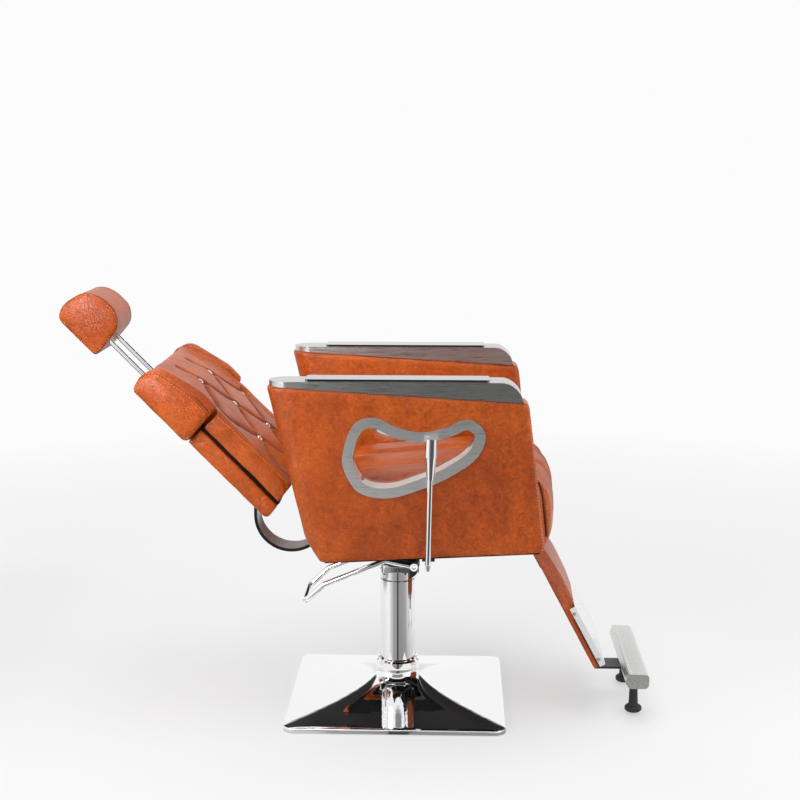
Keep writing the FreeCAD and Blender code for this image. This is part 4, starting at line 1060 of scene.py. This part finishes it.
print("back leans", round(math.degrees(math.atan2(-back_up.x, back_up.z)), 1), "degrees")

# %% Back cushion
tuft_rows = [(0.039, (-0.157, 0.0, 0.157)), (0.132, (-0.078, 0.078)), (0.226, (-0.157, 0.0, 0.157)),
             (0.318, (-0.063, 0.063))]
buttons = [(y, up) for up, row in tuft_rows for y in row]
pleat_reach = 0.100
top_pleat = 0.06
pleats = []
for (up_a, row_a), (up_b, row_b) in zip(tuft_rows, tuft_rows[1:]):
    pleats += [((ya, up_a), (yb, up_b)) for ya in row_a for yb in row_b if abs(ya - yb) < pleat_reach]
top_row = tuft_rows[-1]
pleats += [((y, top_row[0]), (y, top_row[0] + top_pleat)) for y in top_row[1]]


def gap_to_pleats(y, up):
    """How far each place on the back is from the nearest pleat."""
    near = np.full(len(y), 1e9)
    for (ya, ua), (yb, ub) in pleats:
        run = np.array([yb - ya, ub - ua])
        share = np.clip(((y - ya) * run[0] + (up - ua) * run[1]) / (run @ run), 0, 1)
        near = np.minimum(near, np.hypot(y - ya - share * run[0], up - ua - share * run[1]))
    return near


def back_hold(p):
    thick, y, up = back_local(p)
    firm = np.exp(-(gap_to_pleats(y, up) / 0.005) ** 2) * 0.9
    for by, bu in buttons:
        firm = np.maximum(firm, np.exp(-(np.hypot(y - by, up - bu) / 0.012) ** 4))
    return np.maximum(firm, (thick < 0.052) * 1.0)


def bell(gap, width):
    """1 where the gap is nothing, falling off over width."""
    return np.exp(-(gap / width) ** 2)


back_cushion = soft_start(["back_cushion"], "back_padding", 0.0042, (0.001, 0.0, 0.001))
inflate(back_cushion, back_hold, travel=0.009, pressure=5.0)
wrinkle(back_cushion, 0.0012, 0.035, 7.0)
thick, across, up = back_local(read_points(back_cushion.data))
front = thick > 0.05
pleat_gap = gap_to_pleats(across, up)
button_gap = np.min([np.hypot(across - y, up - u) for y, u in buttons], axis=0)
settle = 0.5 * np.maximum(thick - 0.083, 0)
fold = 0.0035 * bell(pleat_gap, 0.0055) + 0.002 * bell(pleat_gap, 0.014)
push(back_cushion, back_out, front * (0.006 * bell(button_gap, 0.020) - settle - fold))
# Painted shade in the pleats and in a ring round each button, where the tufts fold down.
paint_shade(back_cushion, front * np.maximum(0.55 * bell(pleat_gap, 0.0045) + 0.25 * bell(pleat_gap, 0.012),
                                        0.6 * bell(button_gap - 0.009, 0.004)))
set_on(back_cushion, "back", "leather", "back_cushion")


# %% Shell, wings and rear panel of the back
def middle(values):
    return (values.min() + values.max()) / 2


rod_room = 0.0025
rod_thick, rod_across, rod_up = back_local(read_points(nodes["headrest_rods"].data))
shaft = rod_up < rod_up.min() + 0.05
rod_middle = (middle(rod_thick[shaft]), middle(np.abs(rod_across[shaft])))
rod_reach = (rod_thick[shaft].max() - rod_thick[shaft].min()) / 2 + rod_room


def clear_rods(obj):
    """Opens the padding round the paths of the headrest's rods."""
    points = read_points(obj.data)
    thick, across, _ = back_local(points)
    away = np.stack([thick - rod_middle[0], np.abs(across) - rod_middle[1]])
    gap = np.maximum(np.hypot(*away), 1e-6)
    grow_by = np.where(gap < rod_reach, rod_reach / gap - 1, 0)
    write_points(obj.data, points + np.outer(away[0] * grow_by, tuple(back_out))
                 + np.outer(away[1] * np.sign(across) * grow_by, (0, 1, 0)))
    print(obj.name, "points cleared of the rods:", int((grow_by > 0).sum()))


back_pieces = {}
for node, name, voxel, travel, rear_push, fill in (("back_shell", "shell_padding", 0.005, 0.003, 0.0028, 0.8),
                                                   ("wing_right", "wing_padding_right", 0.004, 0.005, 0.0024, 0.85),
                                                   ("rear_panel", "rear_padding", 0.004, 0.003, 0.0, 0.8)):
    piece = soft_start([node], name, voxel)
    inflate(piece, 0.35, travel)
    wrinkle(piece, 0.0008, 0.04, 11.0)
    thick = back_local(read_points(piece.data))[0]
    push(piece, -back_out, rear_push * np.clip((0.015 - thick) / 0.015, 0, 1))
    if node == "wing_right":
        crown(piece, 0.012, -1)
    else:
        clear_rods(piece)
    set_on(piece, "back", "leather", node)
    back_pieces[node] = piece


# %% Seams of the wings and of the sides
def on_back(point):
    """Thickness and height up the back of one point."""
    away = point - back_foot
    return away @ back_out, away @ back_up


def fold_line(angle):
    """A short fold that runs up and to the rear from the wing's lower front corner."""
    return [pucker + back_up * (0.020 * math.sin(angle) * k / 8) - back_out * (0.022 * math.cos(angle) * k / 8)
            for k in range(9)]


wing = back_pieces["wing_right"]
wing_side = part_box("wing_right")[0].y
press(wing, [slice_line(wing, wing_side + 0.009)], 0.0016, 0.005)
pucker = back_place(0.064, wing_side + 0.01, 0.262)
press(wing, [fold_line(angle) for angle in (0.2, 0.65, 1.1)], 0.0022, 0.006)
set_on(mirrored(wing, "wing_padding_left"), "back", "leather", "wing_left")
low_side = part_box("back_shell")[0].y
below_wing = 0.235
front_seam = slice_line(back_cushion, low_side + 0.006,
                        lambda p: on_back(p)[0] > 0.05 and on_back(p)[1] < below_wing)
rear_seam = slice_line(back_pieces["back_shell"], low_side + 0.005,
                       lambda p: on_back(p)[0] < 0.012 and on_back(p)[1] < below_wing)
right_lines = [slice_line(wing, wing_side + 0.0062), front_seam, rear_seam]
sew("back_stitches", right_lines + [[Vector((p.x, -p.y, p.z)) for p in line] for line in right_lines], "back")

# %% [markdown]
# ## Headrest
#
# A rounded block of foam in leather, with a thin welt round each side face where three pieces of
# leather meet.

# %% Headrest pad
head = soft_start(["headrest_pad"], "headrest_padding", 0.004)
inflate(head, 0.3, travel=0.004)
wrinkle(head, 0.0008, 0.04, 2.0)
head_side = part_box("headrest_pad")[1].y
for side in (-1, 1):
    crown(head, 0.010, side)
head_seams = slices(head, head_side - 0.008)
press(head, head_seams, 0.0014, 0.0045)
set_on(head, "headrest", "leather", "headrest_pad")
tube("headrest_welts", head_seams, 0.0012, welt_leather, "headrest")
sew("headrest_stitches", slices(head, head_side - 0.0045), "headrest")

# %% [markdown]
# ## Leg rest
#
# The calf pad and the board below it are wrapped in one skin, so both solids go into one mesh. Only the
# edge of the bare board shows where its two layers meet, as a dark line: a dark cord, with painted shade in the groove
# round it.

# %% Leg pad and board
leg = soft_start(["leg_pad", "leg_board"], "leg_padding", 0.004)
pad_low, pad_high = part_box("leg_pad")
edge_round = 0.045
row_height = 0.012
face_lean = (math.cos(0.487), math.sin(0.487))
points = read_points(leg.data)
front_of = points[:, 0] * face_lean[0] + points[:, 2] * face_lean[1]
level = points[:, 2] > pad_low.z + 0.004
for side in (-1, 1):
    over = side * points[:, 1] - (pad_high.y - edge_round)
    rows = np.round(points[:, 2] / row_height).astype(int)
    for row in np.unique(rows[level]):
        here = level & (rows == row)
        deep = front_of - (front_of[here].max() - edge_round)
        turn = here & (over > 0) & (deep > 0)
        reach = np.hypot(over, deep)
        cut = 1 - np.where(turn & (reach > edge_round), edge_round / np.maximum(reach, 1e-9), 1.0)
        points[:, 1] -= side * over * cut
        points[:, 0] -= deep * cut * face_lean[0]
        points[:, 2] -= deep * cut * face_lean[1]
write_points(leg.data, points)
inflate(leg, lambda p: np.where(p[:, 2] < pad_low.z, 0.9, 0.4), travel=0.004)
leg_lean = math.radians(27.9)
leg_up = Vector((-math.sin(leg_lean), 0, math.cos(leg_lean)))
leg_out = Vector((leg_up.z, 0, -leg_up.x))
leg_top = Vector((0.2968, 0, 0.415))
seam_start = 0.205
seam_length = 0.14
layer_line = [leg_top - leg_up * (seam_start + seam_length * k / 59) + leg_out * 0.012 for k in range(60)]
leg_seams = side_lines(leg, 0.4, [(spot.x, spot.z) for spot in layer_line])
# The groove also gets strong painted shade, on top of the dark cord laid in it.
press(leg, leg_seams, 0.0015, 0.005, dark=0.9)
set_on(leg, "seat", "leather", "leg_pad", "leg_board")
tube("leg_seam", leg_seams, 0.0009, dark_piping, "seat")

# %% [markdown]
# ## Buttons
#
# Ten bright buttons hold the tufts. Each is the same turned cap, put on its spot by a small tree.


# %% Buttons on points
def make_point_tree():
    """Puts a copy of one object on every point, turned to face the point's own direction."""
    tree, source, result = new_tree("on_points", Points="Geometry", Piece="Object", Finish="Material")
    given = source.outputs
    info = add_node(tree, "GeometryNodeObjectInfo", Object=given["Piece"])
    facing = add_node(tree, "GeometryNodeInputNamedAttribute", {"data_type": "FLOAT_VECTOR"}, Name="facing")
    repeat(tree, [source], info.outputs["Geometry"], facing.outputs[0], given["Finish"], result)
    return tree


button_cap = turned("button_cap", [(0.0001, 0.0052), (0.003, 0.0050), (0.0058, 0.0042), (0.0076, 0.0028),
                                   (0.0086, 0.0010), (0.0088, -0.0005), (0.0080, -0.0015), (0.0001, -0.0016)],
                    chrome, 32)
cap_rise = 0.003
skin = BVHTree.FromObject(back_cushion, bpy.context.evaluated_depsgraph_get())
spots = [skin.ray_cast(back_place(0.2, y, up), -back_out)[0] + back_out * cap_rise for y, up in buttons]
button_mesh = bpy.data.meshes.new("back_buttons")
button_mesh.from_pydata([tuple(spot) for spot in spots], [], [])
button_mesh.attributes.new("facing", "FLOAT_VECTOR", "POINT").data.foreach_set("vector", [*back_out] * len(spots))
button_set = grow("back_buttons", button_mesh, make_point_tree(), Piece=button_cap, Finish=chrome)
bpy.data.objects.remove(button_cap)
sharpen(button_set, 60)
set_on(button_set, "back", "chrome", "tuft_buttons")
print("buttons:", len(buttons))
